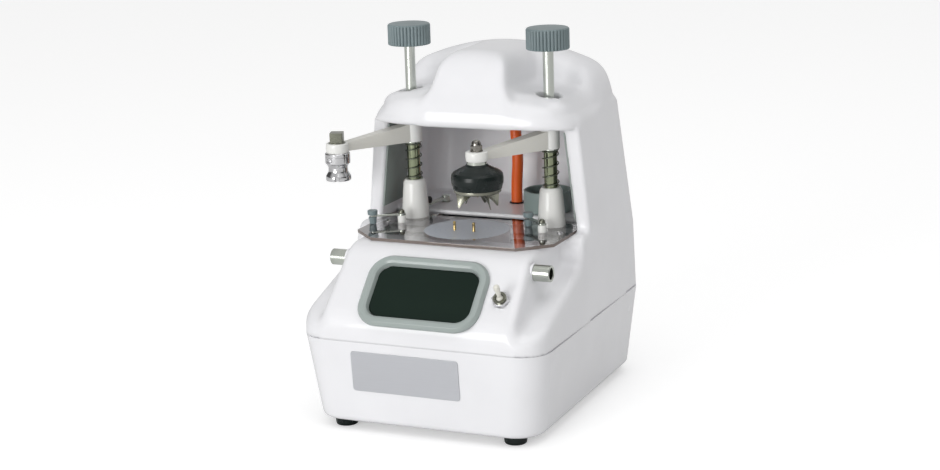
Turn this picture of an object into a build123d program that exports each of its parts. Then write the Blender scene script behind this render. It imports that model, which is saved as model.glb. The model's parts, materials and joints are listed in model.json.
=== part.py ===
"""Benchtop lens centring and blocking instrument, in millimetres.

X runs to the right, Y to the back and Z up. The origin lies on the bench, midway between the two
guide columns: the shafts stand at X = +-shaft_half_spacing, Y = 0.
"""
import os
from math import atan2, cos, degrees, hypot, pi, radians, sin, sqrt, tan

from build123d import *

os.makedirs("parts", exist_ok=True)

# ---------------------------------------------------------------- driving dimensions
running_gap = 0.05            # radial clearance of a turning or sliding fit
soft_gap = 0.3                # clearance of a spring to its seats

# shafts, arms and heads
shaft_half_spacing = 70.0     # shaft axes to the middle plane
target_y = -36.62             # optical axis, in front of the shafts
arm_length = hypot(shaft_half_spacing, target_y)  # the arms can meet over the target
shaft_radius = 5.0            # upper stem, through the hood
guide_radius = 6.2            # lower stem, inside the spring and the column
left_arm_angle = 232.4        # plan angle of the left arm at rest, from +X
right_arm_angle = 235.0
arm_floor_z = 241.0           # underside of the arm hubs at rest
hub_radius = 9.0
hub_height = 19.0
knob_radius = 20.0
knob_height = 19.7
knob_floor_z = 333.0
knob_ribs = 36

# housing
foot_height = 8.0
seam_z = 87.0                 # parting line between tray and upper housing
seam_reveal = 0.6
front_y = -156.0
shell_wall = 4.0
tray_wall = 3.0
# height, half width in front, half width at the back, back Y
plan_levels = ((seam_z, 121.0, 113.5, 126.0), (150.0, 118.6, 112.0, 125.0), (335.0, 100.0, 94.0, 112.0))
tray_foot_level = (foot_height, 110.5, 104.5, 120.0)
tray_foot_front_y = -149.0
front_corner_radius = 28.0
back_corner_radius = 25.0
tray_edge_radius = 6.0

pillar_y = -14.0              # front faces of the two pillars
curb_y = -34.0                # front end of the low curbs before the pillars
curb_z = 167.0
ramp_slope = 0.356            # rise over run of the shoulders beside the console
ramp_top = (-42.0, 141.4)     # Y and Z where the shoulder turns up to the curb
hood_z = 262.0                # underside of the hood
shelf_z = 294.0               # floor of the two shaft pockets
pocket_foot_y = 35.0          # back of the pocket floor
pocket_top = (57.0, 325.0)    # Y and Z of the pocket's upper edge
pocket_round = 16.0            # cove at the pocket's foot and round at its top
crown_z = 329.5
crown_back = (115.5, 287.0)   # Y and Z where the crown turns into the back wall
crown_edge = (97.0, 307.0)     # half width and Z of the crown's long edge
crown_edge_radius = 20.0
crown_side_flare = 9.5         # how much wider the crown's section is at the hood's underside
crown_rear_radius = 40.0
nose_half_width = 36.0
nose_edge_radius = 14.0
nose_rise = (1.0, -11.0)      # where the nose leaves the lip: Y from the lip's front, Z from the shelf
nose_brow = (26.0, -3.0)      # where it turns into the crown: Y from the lip's front, Z from the crown
nose_rounds = (24.0, 16.0)    # rounds at those two places
nose_length = 20.0            # how far it runs into the crown behind the pockets
lip_front_y = -38.0
lip_half_flat = 58.0
lip_half_width = 104.5
lip_edge_radius = 22.0
side_edge_radius = 20.0        # long side edges of the shelf and the pocket walls
side_edge_bend = 40.0          # bend of those edges where the shelf turns up
edge_run_in = 22.0            # how far the tool of those edges starts before the lip
edge_run_up = 62.0            # how far it runs up above the shelf
edge_reach = 14.0             # how far it stands off the wall
edge_turn = 5.0               # how far before the pocket's back it turns up
shelf_hole_radius = 11.5

# console and its window
console_z = 164.6             # flat top that carries the stage plate
console_half_foot = 96.8      # half width at the seam
console_draft = 4.2           # degrees
slope_sum = 264.0             # Z - Y of the 45 degree front face
console_edge_radius = 10.0
console_flank_radius = 9.0
window_size = (99.0, 51.0)
window_radius = 16.0
window_drop = 48.7            # distance down the slope from its top edge
glass_lap = 1.2               # how far the glass reaches under the bezel
glass_thickness = 3.0
bezel_size = (119.0, 72.6)
bezel_radius = 22.0
bezel_height = 5.0

# recess between the pillars
recess_half_low = 100.2       # half width at the stage
recess_half_high = 89.3       # half width at the hood
recess_back_y = 104.0
recess_front_y = -60.0
recess_corner_radius = 18.0
deck_z = 170.0                # rear deck
deck_step_y = 20.0

# stage plate and target
stage_thickness = 3.0
stage_half_width = 98.6
stage_front_y = -91.6
stage_chamfer = (26.8, 25.0)
stage_rear_y = 8.0
stage_ear_y = 16.5
stage_ear_x = 52.0
target_radius = 40.0
target_seat = 3.5             # width of the ledge under the target's edge
pin_radius = 1.35
pin_half_spacing = 9.7
pin_offset_y = -6.4           # pins to the target centre
pin_rise = 8.6                # how far the pins stand out

# guide columns and springs
column_foot_radius = 13.0
column_top_radius = 9.3
column_height = 36.6
column_shoulder = 5.0
stud_radius = 9.0
spring_radius = 7.4           # mean radius of the coil
spring_wire = 1.2
spring_active_turns = 3.5
spring_end_pitch = 1.9
washer_thickness = 1.4
washer_radius = 8.3

# cross shaft and line cursor
cross_y = -97.6
cross_z = 148.4
cross_tube_radius = 7.5
cross_tube_bore = 5.2
cross_half_length = 108.5
cross_rod_radius = 4.0
cross_rod_half = 78.0
bush_wall = 0.9
cursor_z = 153.0
cursor_thickness = 3.0

# ---------------------------------------------------------------- derived places
stage_z = console_z + stage_thickness
column_top_z = stage_z + column_height
shaft_sides = (("left", -1), ("right", 1))
pin_y = target_y + pin_offset_y
slope_plane = Plane(origin=(0, console_z - slope_sum, console_z), x_dir=(1, 0, 0), z_dir=(0, -1, 1))


def wall_plane(x, z, low, high, facing):
    """Plane on a leaning front or back wall, given as two (Y, Z) points; facing is -1 or +1."""
    share = (z - low[1]) / (high[1] - low[1])
    y = low[0] + share * (high[0] - low[0])
    normal = (0, facing * (high[1] - low[1]), -facing * (high[0] - low[0]))
    return Plane(origin=(x, y, z), x_dir=(-facing, 0, 0), z_dir=normal)


def arm_plane(side, angle, z):
    """Horizontal plane on a shaft's axis whose X axis points along the arm."""
    direction = (cos(radians(angle)), sin(radians(angle)), 0)
    return Plane(origin=(side * shaft_half_spacing, 0, z), x_dir=direction, z_dir=(0, 0, 1))


# ---------------------------------------------------------------- housing bodies
def plan_block(levels, fronts, inset):
    """Solid inside the leaning side walls: rounded plans at several heights, joined straight."""
    with BuildPart() as block:
        for (z, front_half, back_half, back_y), level_front_y in zip(levels, fronts):
            with BuildSketch(Plane.XY.offset(z)) as level:
                with BuildLine():
                    Polyline(
                        (-front_half + inset, level_front_y + inset),
                        (front_half - inset, level_front_y + inset),
                        (back_half - inset, back_y - inset),
                        (-back_half + inset, back_y - inset),
                        close=True,
                    )
                make_face()
                fillet(level.vertices().group_by(Axis.Y)[0], front_corner_radius - inset)
                fillet(level.vertices().group_by(Axis.Y)[-1], back_corner_radius - inset)
        loft(ruled=True)
    return block.part


def side_body(inset):
    """Full-width side profile: shoulders, curbs, pillars, pocket floor and the rear crown."""
    reach = 180.0
    ramp_start_z = ramp_top[1] - ramp_slope * (ramp_top[0] + reach)
    with BuildPart() as body:
        with BuildSketch(Plane.YZ) as profile:
            with BuildLine():
                Polyline(
                    (-reach, 0),
                    (-reach, ramp_start_z),
                    ramp_top,
                    (curb_y, curb_z),
                    (pillar_y, curb_z),
                    (pillar_y, shelf_z),
                    (pocket_foot_y, shelf_z),
                    pocket_top,
                    (pocket_top[0] + 12, crown_z + 1),
                    (crown_back[0], crown_z + 1),
                    crown_back,
                    (reach, crown_back[1]),
                    (reach, 0),
                    close=True,
                )
            make_face()
            corner = profile.vertices()
            fillet(corner.sort_by_distance((*ramp_top, 0))[0], 14)
            for place in ((pocket_foot_y, shelf_z), pocket_top):
                corner = profile.vertices()
                fillet(corner.sort_by_distance((*place, 0))[0], pocket_round)
            corner = profile.vertices()
            fillet(corner.sort_by_distance((crown_back[0], crown_z + 1, 0))[0], crown_rear_radius)
            if inset:
                offset(amount=-inset, kind=Kind.INTERSECTION, mode=Mode.REPLACE)
        extrude(amount=reach, both=True)
    return body.part


def console_body(inset):
    """Console with a flat top and a 45 degree front, its side walls drawn in upwards."""
    reach = 180.0
    with BuildPart() as body:
        with BuildSketch(Plane.YZ) as profile:
            with BuildLine():
                Polyline(
                    (-reach, 0),
                    (-reach, slope_sum - reach),
                    (console_z - slope_sum, console_z),
                    (deck_step_y + 20, console_z),
                    (deck_step_y + 20, 0),
                    close=True,
                )
            make_face()
            fillet(profile.vertices().sort_by_distance((console_z - slope_sum, console_z, 0))[0],
                   console_edge_radius)
            if inset:
                offset(amount=-inset, kind=Kind.INTERSECTION, mode=Mode.REPLACE)
        extrude(amount=reach, both=True)
        with BuildSketch(Plane.XY.offset(seam_z)):
            Rectangle(2 * (console_half_foot - inset), 4 * reach)
        extrude(amount=console_z - seam_z + 10, taper=console_draft, mode=Mode.INTERSECT)
        edges = body.edges().filter_by(lambda edge: edge.center().Z > seam_z + 12)
        flanks = edges.filter_by(lambda edge: abs(edge.center().X) > console_half_foot - 16
                                 and edge.center().Y < deck_step_y + 10)
        fillet(flanks, console_flank_radius)
    return body.part


def lip_body(inset):
    """Overhanging hood lip, bowed in plan, with a large round along its upper edge."""
    side_y = 10.0
    with BuildPart() as body:
        with BuildSketch(Plane.XY.offset(hood_z + inset)) as plan:
            with BuildLine():
                front = Line((-lip_half_flat, lip_front_y), (lip_half_flat, lip_front_y))
                right = TangentArc(front @ 1, (lip_half_width, pillar_y), tangent=front % 1)
                left = TangentArc(front @ 0, (-lip_half_width, pillar_y), tangent=-(front % 0))
                Polyline(left @ 1, (-lip_half_width, side_y), (lip_half_width, side_y), right @ 1)
            make_face()
            if inset:
                offset(amount=-inset, kind=Kind.INTERSECTION, mode=Mode.REPLACE)
        extrude(amount=shelf_z - hood_z - 2 * inset)
        rim = body.faces().sort_by(Axis.Z)[-1].edges().filter_by(lambda edge: edge.center().Y < 0)
        fillet(rim.filter_by(lambda edge: edge.center().Y < pillar_y), lip_edge_radius - inset)
    return body.part


def nose_body(inset):
    """Middle nose that rises from the lip to the crown between the two shaft pockets."""
    foot_z = hood_z + inset
    rise_y, rise_z = lip_front_y + nose_rise[0] + inset, shelf_z + nose_rise[1]
    brow_y, brow_z = lip_front_y + nose_brow[0] + inset, crown_z + nose_brow[1] - inset
    with BuildPart() as body:
        with BuildSketch(Plane.YZ) as profile:
            with BuildLine():
                Polyline(
                    (lip_front_y + inset, foot_z),
                    (rise_y, rise_z),
                    (brow_y, brow_z),
                    (pocket_top[0] + nose_length, crown_z + 1 - inset),
                    (pocket_top[0] + nose_length, foot_z),
                    close=True,
                )
            make_face()
            fillet(profile.vertices().sort_by_distance((rise_y, rise_z, 0))[0], nose_rounds[0])
            fillet(profile.vertices().sort_by_distance((brow_y, brow_z, 0))[0], nose_rounds[1])
        extrude(amount=nose_half_width - inset, both=True)
        flanks = body.faces().filter_by(Axis.X).edges()
        fillet(flanks.filter_by(lambda edge: edge.center().Y < 0 and edge.center().Z > foot_z + 1),
               nose_edge_radius - inset / 2)
    return body.part


def crown_section(inset):
    """Cross section that arches the crown and rounds its long edges, run from front to back."""
    reach = 180.0
    with BuildPart() as body:
        with BuildSketch(Plane.XZ) as section:
            with BuildLine():
                top = ThreePointArc(
                    (-crown_edge[0] + inset, crown_edge[1] - inset),
                    (0, crown_z - inset),
                    (crown_edge[0] - inset, crown_edge[1] - inset),
                )
                foot = crown_edge[0] + crown_side_flare - inset
                Polyline(top @ 1, (foot, hood_z), (reach, hood_z), (reach, 0),
                         (-reach, 0), (-reach, hood_z), (-foot, hood_z), top @ 0)
            make_face()
            fillet(section.vertices().group_by(Axis.Y)[-1], crown_edge_radius - inset)
        extrude(amount=2 * reach, both=True)
    return body.part


def wall_half_width(y, z):
    """Half width of the leaning side walls at a place above the second plan level."""
    low, high = plan_levels[1:]
    rise = (z - low[0]) / (high[0] - low[0])
    front_half = low[1] + (high[1] - low[1]) * rise
    back_half = low[2] + (high[2] - low[2]) * rise
    return front_half + (back_half - front_half) * (y - front_y) / (low[3] - front_y)


def side_edge_tool(side, inset):
    """Tool that rounds one long side edge: along the shelf, then up beside the pocket wall."""
    slope = (pocket_top[0] - pocket_foot_y) / (pocket_top[1] - shelf_z)
    turn_y, top_z = pocket_foot_y - edge_turn, shelf_z + edge_run_up
    places = [(wall_half_width(y, z), y, z + lift) for y, z, lift in (
        (lip_front_y - edge_run_in, shelf_z, 0), (turn_y, shelf_z, 0),
        (turn_y + edge_run_up * slope, crown_z, top_z - crown_z))]
    radius, reach = side_edge_radius - inset, edge_reach
    with BuildPart() as tool:
        with BuildLine():
            path = FilletPolyline(*[(side * (x - inset), y, z - inset) for x, y, z in places],
                                  radius=side_edge_bend)
        with BuildSketch(Plane(origin=path @ 0, x_dir=(side, 0, 0), z_dir=path % 0)) as section:
            down = side
            with BuildLine():
                arc = ThreePointArc((-radius, 0),
                                    (-radius * (1 - sin(pi / 4)), down * radius * (1 - cos(pi / 4))),
                                    (0, down * radius))
                Polyline(arc @ 1, (reach, down * radius), (reach, -down * reach), (-radius, -down * reach), arc @ 0)
            make_face()
        sweep(path=path, transition=Transition.ROUND)
    return tool.part


def recess_body(grow):
    """Open space between the pillars: stage level in front, deck level behind."""
    low, high = console_z - grow, hood_z + grow
    with BuildPart() as body:
        for z, half in ((low, recess_half_low), (high, recess_half_high)):
            with BuildSketch(Plane.XY.offset(z)):
                with Locations((0, (recess_front_y + recess_back_y + grow) / 2)):
                    Rectangle(2 * (half + grow), recess_back_y + grow - recess_front_y)
        loft(ruled=True)
        posts = body.edges().filter_by(lambda edge: edge.length > high - low - 1)
        fillet(posts.group_by(Axis.Y)[-1], recess_corner_radius + grow)
        with BuildSketch(Plane.XY.offset(low)):
            with Locations((0, recess_back_y)):
                Rectangle(3 * recess_half_low, 2 * (recess_back_y - deck_step_y - grow))
        extrude(amount=deck_z - console_z, mode=Mode.SUBTRACT)
    return body.part


def housing_solid(inset):
    """Outer form of the upper housing, or its inner form when an inset is given."""
    edge_tools = [side_edge_tool(side, inset) for side in (-1, 1)]
    with BuildPart() as solid:
        add(side_body(inset))
        add(console_body(inset))
        add(lip_body(inset))
        add(nose_body(inset))
        add(crown_section(inset), mode=Mode.INTERSECT)
        add(plan_block(plan_levels, (front_y,) * 3, inset), mode=Mode.INTERSECT)
        for tool in edge_tools:
            add(tool, mode=Mode.SUBTRACT)
    return solid.part


# ---------------------------------------------------------------- upper housing
post_radius = 6.5
post_screw_radius = 2.0
front_post = (98.0, -112.0)
back_post = (96.0, 70.0)
post_top_z = 120.0
housing_posts = [(side * x, y) for x, y in (front_post, back_post) for side in (-1, 1)]
light_hole_radius = 9.0
lamp_y = -2.0
bush_hole_radius = 8.0
lead_x, lead_y = 4.5, 72.0
lead_hole_radius = 5.9
lever_pivot = (-65.0, 58.0)
lever_shaft_radius = 4.0
cup_place = (46.5, 49.0)
toggle_x, toggle_drop = 75.0, 48.2
toggle_bush_radius = 6.0
clip_post_x, clip_post_y = 71.5, -27.5
clip_stud_radius = 2.0
stage_screw_x, stage_screw_y = 87.7, -25.8
stage_screw_radius = 1.5
rear_low, rear_high = (plan_levels[1][3], plan_levels[1][0]), (plan_levels[2][3], plan_levels[2][0])
rear_cover_size = (150.0, 84.0)
rear_opening_size = (rear_cover_size[0] - 16, rear_cover_size[1] - 16)
rear_cover_z = 222.0
rear_plane = wall_plane(0, rear_cover_z, rear_low, rear_high, 1)
cover_screw_radius = 1.5
cover_screw_spacing = (rear_cover_size[0] - 8, rear_cover_size[1] - 8)

outer_form = housing_solid(0)
inner_form = housing_solid(shell_wall)

with BuildPart() as housing_posts_form:
    with BuildSketch(Plane.XY.offset(seam_z)):
        with Locations(*housing_posts):
            Circle(post_radius)
    extrude(amount=post_top_z - seam_z)
    with BuildSketch(Plane.XY.offset(seam_z)):
        for side in (-1, 1):
            with Locations((side * (back_post[0] + 12), back_post[1])):
                Rectangle(24, shell_wall)
    extrude(amount=post_top_z - seam_z)
    add(outer_form, mode=Mode.INTERSECT)

with BuildPart() as hollow_form:
    add(inner_form)
    add(recess_body(shell_wall), mode=Mode.SUBTRACT)

with BuildPart() as upper_housing:
    add(outer_form)
    add(hollow_form.part, mode=Mode.SUBTRACT)
    add(recess_body(0), mode=Mode.SUBTRACT)
    add(housing_posts_form.part)
    # screw holes in the posts
    with BuildSketch(Plane.XY.offset(seam_z)):
        with Locations(*housing_posts):
            Circle(post_screw_radius - running_gap)
    extrude(amount=14, mode=Mode.SUBTRACT)
    # window and toggle openings in the sloping front
    with BuildSketch(slope_plane):
        with Locations((0, -window_drop)):
            RectangleRounded(window_size[0] + 2 * glass_lap + 0.6, window_size[1] + 2 * glass_lap + 0.6,
                             window_radius)
        with Locations((toggle_x, -toggle_drop)):
            Circle(toggle_bush_radius + running_gap)
    extrude(amount=-2 * shell_wall, both=True, mode=Mode.SUBTRACT)
    # target, column, clip post, stage screw, cup, lever and lead openings in stage floor and deck
    with BuildSketch(Plane.XY.offset(console_z - 2 * shell_wall)):
        with Locations((0, target_y)):
            Circle(target_radius - target_seat)
        with Locations(*[(side * shaft_half_spacing, 0) for side in (-1, 1)]):
            Circle(stud_radius + running_gap)
        with Locations(*[(side * clip_post_x, clip_post_y) for side in (-1, 1)]):
            Circle(clip_stud_radius + running_gap)
        with Locations(*[(side * stage_screw_x, stage_screw_y) for side in (-1, 1)]):
            Circle(stage_screw_radius + running_gap)
        with Locations(lever_pivot):
            Circle(lever_shaft_radius + running_gap)
        with Locations((lead_x, lead_y)):
            Circle(lead_hole_radius)
    extrude(amount=3 * shell_wall + deck_z - console_z, mode=Mode.SUBTRACT)
    # lead, light and shaft openings in the hood's floor
    with BuildSketch(Plane.XY.offset(hood_z - shell_wall)):
        with Locations((lead_x, lead_y)):
            Circle(lead_hole_radius)
        with Locations((0, lamp_y)):
            Circle(light_hole_radius)
        with Locations(*[(side * shaft_half_spacing, 0) for side in (-1, 1)]):
            Circle(bush_hole_radius + running_gap)
    extrude(amount=3 * shell_wall, mode=Mode.SUBTRACT)
    # clearance holes for the shafts in the pocket floors
    with BuildSketch(Plane.XY.offset(shelf_z - 2 * shell_wall)):
        with Locations(*[(side * shaft_half_spacing, 0) for side in (-1, 1)]):
            Circle(shelf_hole_radius)
    extrude(amount=4 * shell_wall, mode=Mode.SUBTRACT)
    # cross shaft bushes through both console flanks
    with BuildSketch(Plane.YZ.offset(-console_half_foot - 5)):
        with Locations((cross_y, cross_z)):
            Circle(cross_tube_radius + running_gap + bush_wall)
    extrude(amount=2 * (console_half_foot + 5), mode=Mode.SUBTRACT)
    # service opening in the back wall
    with BuildSketch(rear_plane):
        RectangleRounded(*rear_opening_size, 6)
    extrude(amount=-1.5 * shell_wall, mode=Mode.SUBTRACT)
    with BuildSketch(rear_plane):
        with GridLocations(*cover_screw_spacing, 2, 2):
            Circle(cover_screw_radius - running_gap)
    extrude(amount=-1.5 * shell_wall, mode=Mode.SUBTRACT)

# The moulding is kept as bonded sections, so that collision pieces can leave the recess and the case open.
strip_half_width = 56.0       # between the window and the column studs
floor_front_y = -88.0         # behind the window's upper edge
hood_section = split(upper_housing.part, bisect_by=Plane.XY.offset(hood_z), keep=Keep.TOP)
lower_section = split(upper_housing.part, bisect_by=Plane.XY.offset(deck_z), keep=Keep.BOTTOM)
middle = split(split(upper_housing.part, bisect_by=Plane.XY.offset(deck_z), keep=Keep.TOP),
               bisect_by=Plane.XY.offset(hood_z), keep=Keep.BOTTOM)
back_cut = Plane(origin=(0, recess_back_y - recess_corner_radius, 0), x_dir=(1, 0, 0), z_dir=(0, 1, 0))
back_section = split(middle, bisect_by=back_cut, keep=Keep.TOP)
pillar_sections = split(middle, bisect_by=back_cut, keep=Keep.BOTTOM)
right_strip = split(lower_section, bisect_by=Plane.YZ.offset(strip_half_width), keep=Keep.TOP)
left_strip = split(lower_section, bisect_by=Plane.YZ.offset(-strip_half_width), keep=Keep.BOTTOM)
centre_strip = split(split(lower_section, bisect_by=Plane.YZ.offset(strip_half_width), keep=Keep.BOTTOM),
                     bisect_by=Plane.YZ.offset(-strip_half_width), keep=Keep.TOP)
floor_cut = Plane(origin=(0, floor_front_y, 0), x_dir=(1, 0, 0), z_dir=(0, 1, 0))
window_section = split(centre_strip, bisect_by=floor_cut, keep=Keep.BOTTOM)
floor_section = split(split(centre_strip, bisect_by=floor_cut, keep=Keep.TOP), bisect_by=back_cut, keep=Keep.BOTTOM)
low_back_section = split(centre_strip, bisect_by=back_cut, keep=Keep.TOP)
housing_sections = [solid for section in (hood_section, right_strip, left_strip, window_section, floor_section,
                                          low_back_section, back_section, pillar_sections)
                    for solid in section.solids()]
print("housing sections", len(housing_sections), [round(solid.volume) for solid in housing_sections],
      "of", round(upper_housing.part.volume))
export_step(Compound(label="upper_housing", children=housing_sections), "parts/upper_housing.step")

# ---------------------------------------------------------------- tray, base plate, feet
foot_radius = 10.0
foot_top_radius = 11.0
foot_stem_radius = 3.0
tray_floor = 2.5
base_plate_thickness = 2.0
base_plate_size = (184.0, 246.0)
base_plate_y = -16.0
tray_opening_size = (base_plate_size[0] - 48, base_plate_size[1] - 50)
foot_inset_x = 7.7             # foot axis to the base plate's side edge
foot_rows_y = (base_plate_y - base_plate_size[1] / 2 + 8, base_plate_y + base_plate_size[1] / 2 - 11)
foot_places = [(side * (base_plate_size[0] / 2 - foot_inset_x), y) for side in (-1, 1) for y in foot_rows_y]
base_top_z = foot_height + tray_floor + base_plate_thickness
tray_top_z = seam_z - seam_reveal
screw_head_radius = 3.6
tray_levels = (tray_foot_level, plan_levels[0])
tray_fronts = (tray_foot_front_y, front_y)
tray_back_low = (tray_foot_level[3], tray_foot_level[0])
tray_back_high = (plan_levels[0][3], plan_levels[0][0])
inlet_plane = wall_plane(-52, 44, tray_back_low, tray_back_high, 1)
inlet_body_size = (27.5, 20.0)
inlet_flange_size = (40.0, 26.0)
inlet_depth = 24.0
plate_size = (106.0, 38.0)
plate_x, plate_z = -12.0, 59.0
plate_plane = wall_plane(plate_x, plate_z, (tray_foot_front_y, foot_height), (front_y, seam_z), -1)

with BuildPart() as tray_cavity:
    add(plan_block(tray_levels, tray_fronts, tray_wall))
    with BuildSketch(Plane.XY.offset(foot_height)):
        Rectangle(4 * base_plate_size[0], 4 * base_plate_size[0])
    extrude(amount=tray_floor, mode=Mode.SUBTRACT)

with BuildPart() as base_tray:
    add(plan_block(tray_levels, tray_fronts, 0))
    fillet(base_tray.faces().sort_by(Axis.Z)[0].edges(), tray_edge_radius)
    add(tray_cavity.part, mode=Mode.SUBTRACT)
    with BuildSketch(Plane.XY.offset(tray_top_z)):
        Rectangle(4 * base_plate_size[0], 4 * base_plate_size[0])
    extrude(amount=2 * seam_reveal, mode=Mode.SUBTRACT)
    with BuildSketch(Plane.XY.offset(foot_height)):
        with Locations((0, base_plate_y)):
            RectangleRounded(*tray_opening_size, 8)
    extrude(amount=tray_floor, mode=Mode.SUBTRACT)
    with BuildSketch(Plane.XY.offset(foot_height + tray_floor)):
        with Locations(*housing_posts):
            Circle(post_radius)
    extrude(amount=seam_z - foot_height - tray_floor)
    with BuildSketch(Plane.XY.offset(foot_height)):
        with Locations(*housing_posts):
            Circle(post_screw_radius + running_gap)
    extrude(amount=seam_z - foot_height, mode=Mode.SUBTRACT)
    with BuildSketch(Plane.XY.offset(foot_height)):
        with Locations(*housing_posts):
            Circle(screw_head_radius + running_gap)
    extrude(amount=tray_floor + 4, mode=Mode.SUBTRACT)
    with BuildSketch(Plane.XY.offset(foot_height)):
        with Locations(*foot_places):
            Circle(foot_stem_radius)
    extrude(amount=tray_floor, mode=Mode.SUBTRACT)
    with BuildSketch(inlet_plane):
        Rectangle(inlet_body_size[0] + 2 * running_gap, inlet_body_size[1] + 2 * running_gap)
    extrude(amount=-3 * tray_wall, mode=Mode.SUBTRACT)
base_tray.part.label = "base_tray"
export_step(base_tray.part, "parts/base_tray.step")

with BuildPart() as base_plate:
    with BuildSketch(Plane.XY.offset(foot_height + tray_floor)):
        with Locations((0, base_plate_y)):
            RectangleRounded(*base_plate_size, 12)
        with Locations(*foot_places):
            Circle(foot_stem_radius, mode=Mode.SUBTRACT)
        with Locations(*housing_posts):
            Circle(post_radius + 0.5, mode=Mode.SUBTRACT)
    extrude(amount=base_plate_thickness)
base_plate.part.label = "base_plate"
export_step(base_plate.part, "parts/base_plate.step")

with BuildPart() as rubber_feet:
    for foot_x, foot_y in foot_places:
        with BuildSketch(Plane(origin=(foot_x, foot_y, 0))):
            Circle(foot_radius)
        with BuildSketch(Plane(origin=(foot_x, foot_y, foot_height))):
            Circle(foot_top_radius)
        loft()
        with BuildSketch(Plane(origin=(foot_x, foot_y, foot_height))):
            Circle(foot_stem_radius)
        extrude(amount=tray_floor + base_plate_thickness)
        with BuildSketch(Plane(origin=(foot_x, foot_y, base_top_z))):
            Circle(foot_stem_radius + 1)
        extrude(amount=2, taper=30)
rubber_feet.part.label = "rubber_feet"
export_step(rubber_feet.part, "parts/rubber_feet.step")

with BuildPart() as nameplate:
    with BuildSketch(plate_plane):
        RectangleRounded(*plate_size, 3)
    extrude(amount=0.8)
nameplate.part.label = "nameplate"
export_step(nameplate.part, "parts/nameplate.step")

with BuildPart() as power_inlet:
    with BuildSketch(inlet_plane):
        RectangleRounded(*inlet_flange_size, 3)
    extrude(amount=3)
    with BuildSketch(inlet_plane):
        Rectangle(*inlet_body_size)
    extrude(amount=-inlet_depth)
    with BuildSketch(inlet_plane.offset(3)):
        RectangleRounded(inlet_body_size[0] - 4, inlet_body_size[1] - 4, 3)
    extrude(amount=-inlet_depth + 5, mode=Mode.SUBTRACT)
    with BuildSketch(inlet_plane.offset(-inlet_depth + 8)):
        with Locations((-7, -2), (0, 2), (7, -2)):
            Rectangle(2, 4)
    extrude(amount=14)
power_inlet.part.label = "power_inlet"
export_step(power_inlet.part, "parts/power_inlet.step")

with BuildPart() as rear_cover:
    with BuildSketch(rear_plane):
        RectangleRounded(*rear_cover_size, 8)
        with GridLocations(*cover_screw_spacing, 2, 2):
            Circle(cover_screw_radius, mode=Mode.SUBTRACT)
    extrude(amount=2)
    with BuildSketch(rear_plane):
        with GridLocations(0, 10, 1, 5):
            SlotOverall(70, 4)
    extrude(amount=2, mode=Mode.SUBTRACT)
rear_cover.part.label = "rear_cover"
export_step(rear_cover.part, "parts/rear_cover.step")

with BuildPart() as case_screws:
    head_z = foot_height + tray_floor + 4
    for post_x, post_y in housing_posts:
        with BuildSketch(Plane(origin=(post_x, post_y, head_z - 2.5))):
            Circle(screw_head_radius)
        extrude(amount=2.5)
        with BuildSketch(Plane(origin=(post_x, post_y, head_z))):
            Circle(post_screw_radius - running_gap)
        extrude(amount=seam_z + 12 - head_z)
        with BuildSketch(Plane(origin=(post_x, post_y, head_z - 2.5))):
            RegularPolygon(1.5, 6)
        extrude(amount=1.4, mode=Mode.SUBTRACT)
    with BuildSketch(rear_plane.offset(2)):
        with GridLocations(*cover_screw_spacing, 2, 2):
            Circle(2 * cover_screw_radius)
    extrude(amount=1.6)
    with BuildSketch(rear_plane.offset(2)):
        with GridLocations(*cover_screw_spacing, 2, 2):
            Circle(cover_screw_radius - running_gap)
    extrude(amount=-7)
case_screws.part.label = "case_screws"
export_step(case_screws.part, "parts/case_screws.step")

# ---------------------------------------------------------------- window, toggle switch
with BuildPart() as window_bezel:
    with BuildSketch(slope_plane):
        with Locations((0, -window_drop)):
            RectangleRounded(*bezel_size, bezel_radius)
            RectangleRounded(*window_size, window_radius, mode=Mode.SUBTRACT)
    extrude(amount=bezel_height)
    crown_edges = window_bezel.faces().sort_by(Axis((0, 0, 0), (0, -1, 1)))[-1].edges()
    fillet(crown_edges, 2)
window_bezel.part.label = "window_bezel"
export_step(window_bezel.part, "parts/window_bezel.step")

with BuildPart() as window_glass:
    with BuildSketch(slope_plane.offset(-glass_thickness)):
        with Locations((0, -window_drop)):
            RectangleRounded(window_size[0] + 2 * glass_lap, window_size[1] + 2 * glass_lap, window_radius)
    extrude(amount=glass_thickness)
window_glass.part.label = "window_glass"
export_step(window_glass.part, "parts/window_glass.step")

toggle_plane = Plane(
    origin=slope_plane.from_local_coords((toggle_x, -toggle_drop, 0)),
    x_dir=slope_plane.x_dir, z_dir=slope_plane.z_dir)
toggle_nut_height = 4.0
toggle_nut_flats = 14.0
toggle_bush_height = 5.5
toggle_pivot_height = 3.0
toggle_throw = 28.0           # degrees between the two positions
toggle_length = 16.0
toggle_ball_radius = 3.4
toggle_box = (13.0, 20.0, 18.0)
toggle_pivot = toggle_plane.from_local_coords((0, 0, toggle_pivot_height))
toggle_tilt = radians(toggle_throw / 2)
toggle_tip = toggle_plane.from_local_coords(
    (0, toggle_length * sin(toggle_tilt), toggle_pivot_height + toggle_length * cos(toggle_tilt)))

with BuildPart() as toggle_body:
    with BuildSketch(toggle_plane.offset(-shell_wall)):
        Rectangle(*toggle_box[:2])
    extrude(amount=-toggle_box[2])
    with BuildSketch(toggle_plane.offset(-shell_wall)):
        Circle(toggle_bush_radius)
    extrude(amount=shell_wall + toggle_bush_height)
    with BuildSketch(toggle_plane.offset(toggle_pivot_height - toggle_ball_radius - 1)):
        Circle(toggle_ball_radius + soft_gap)
    extrude(amount=toggle_length, mode=Mode.SUBTRACT)
    with BuildSketch(toggle_plane.offset(-shell_wall - toggle_box[2])):
        with GridLocations(0, 6, 1, 3):
            Rectangle(4, 1)
    extrude(amount=-7)
toggle_body.part.label = "toggle_body"
export_step(toggle_body.part, "parts/toggle_body.step")

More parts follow.
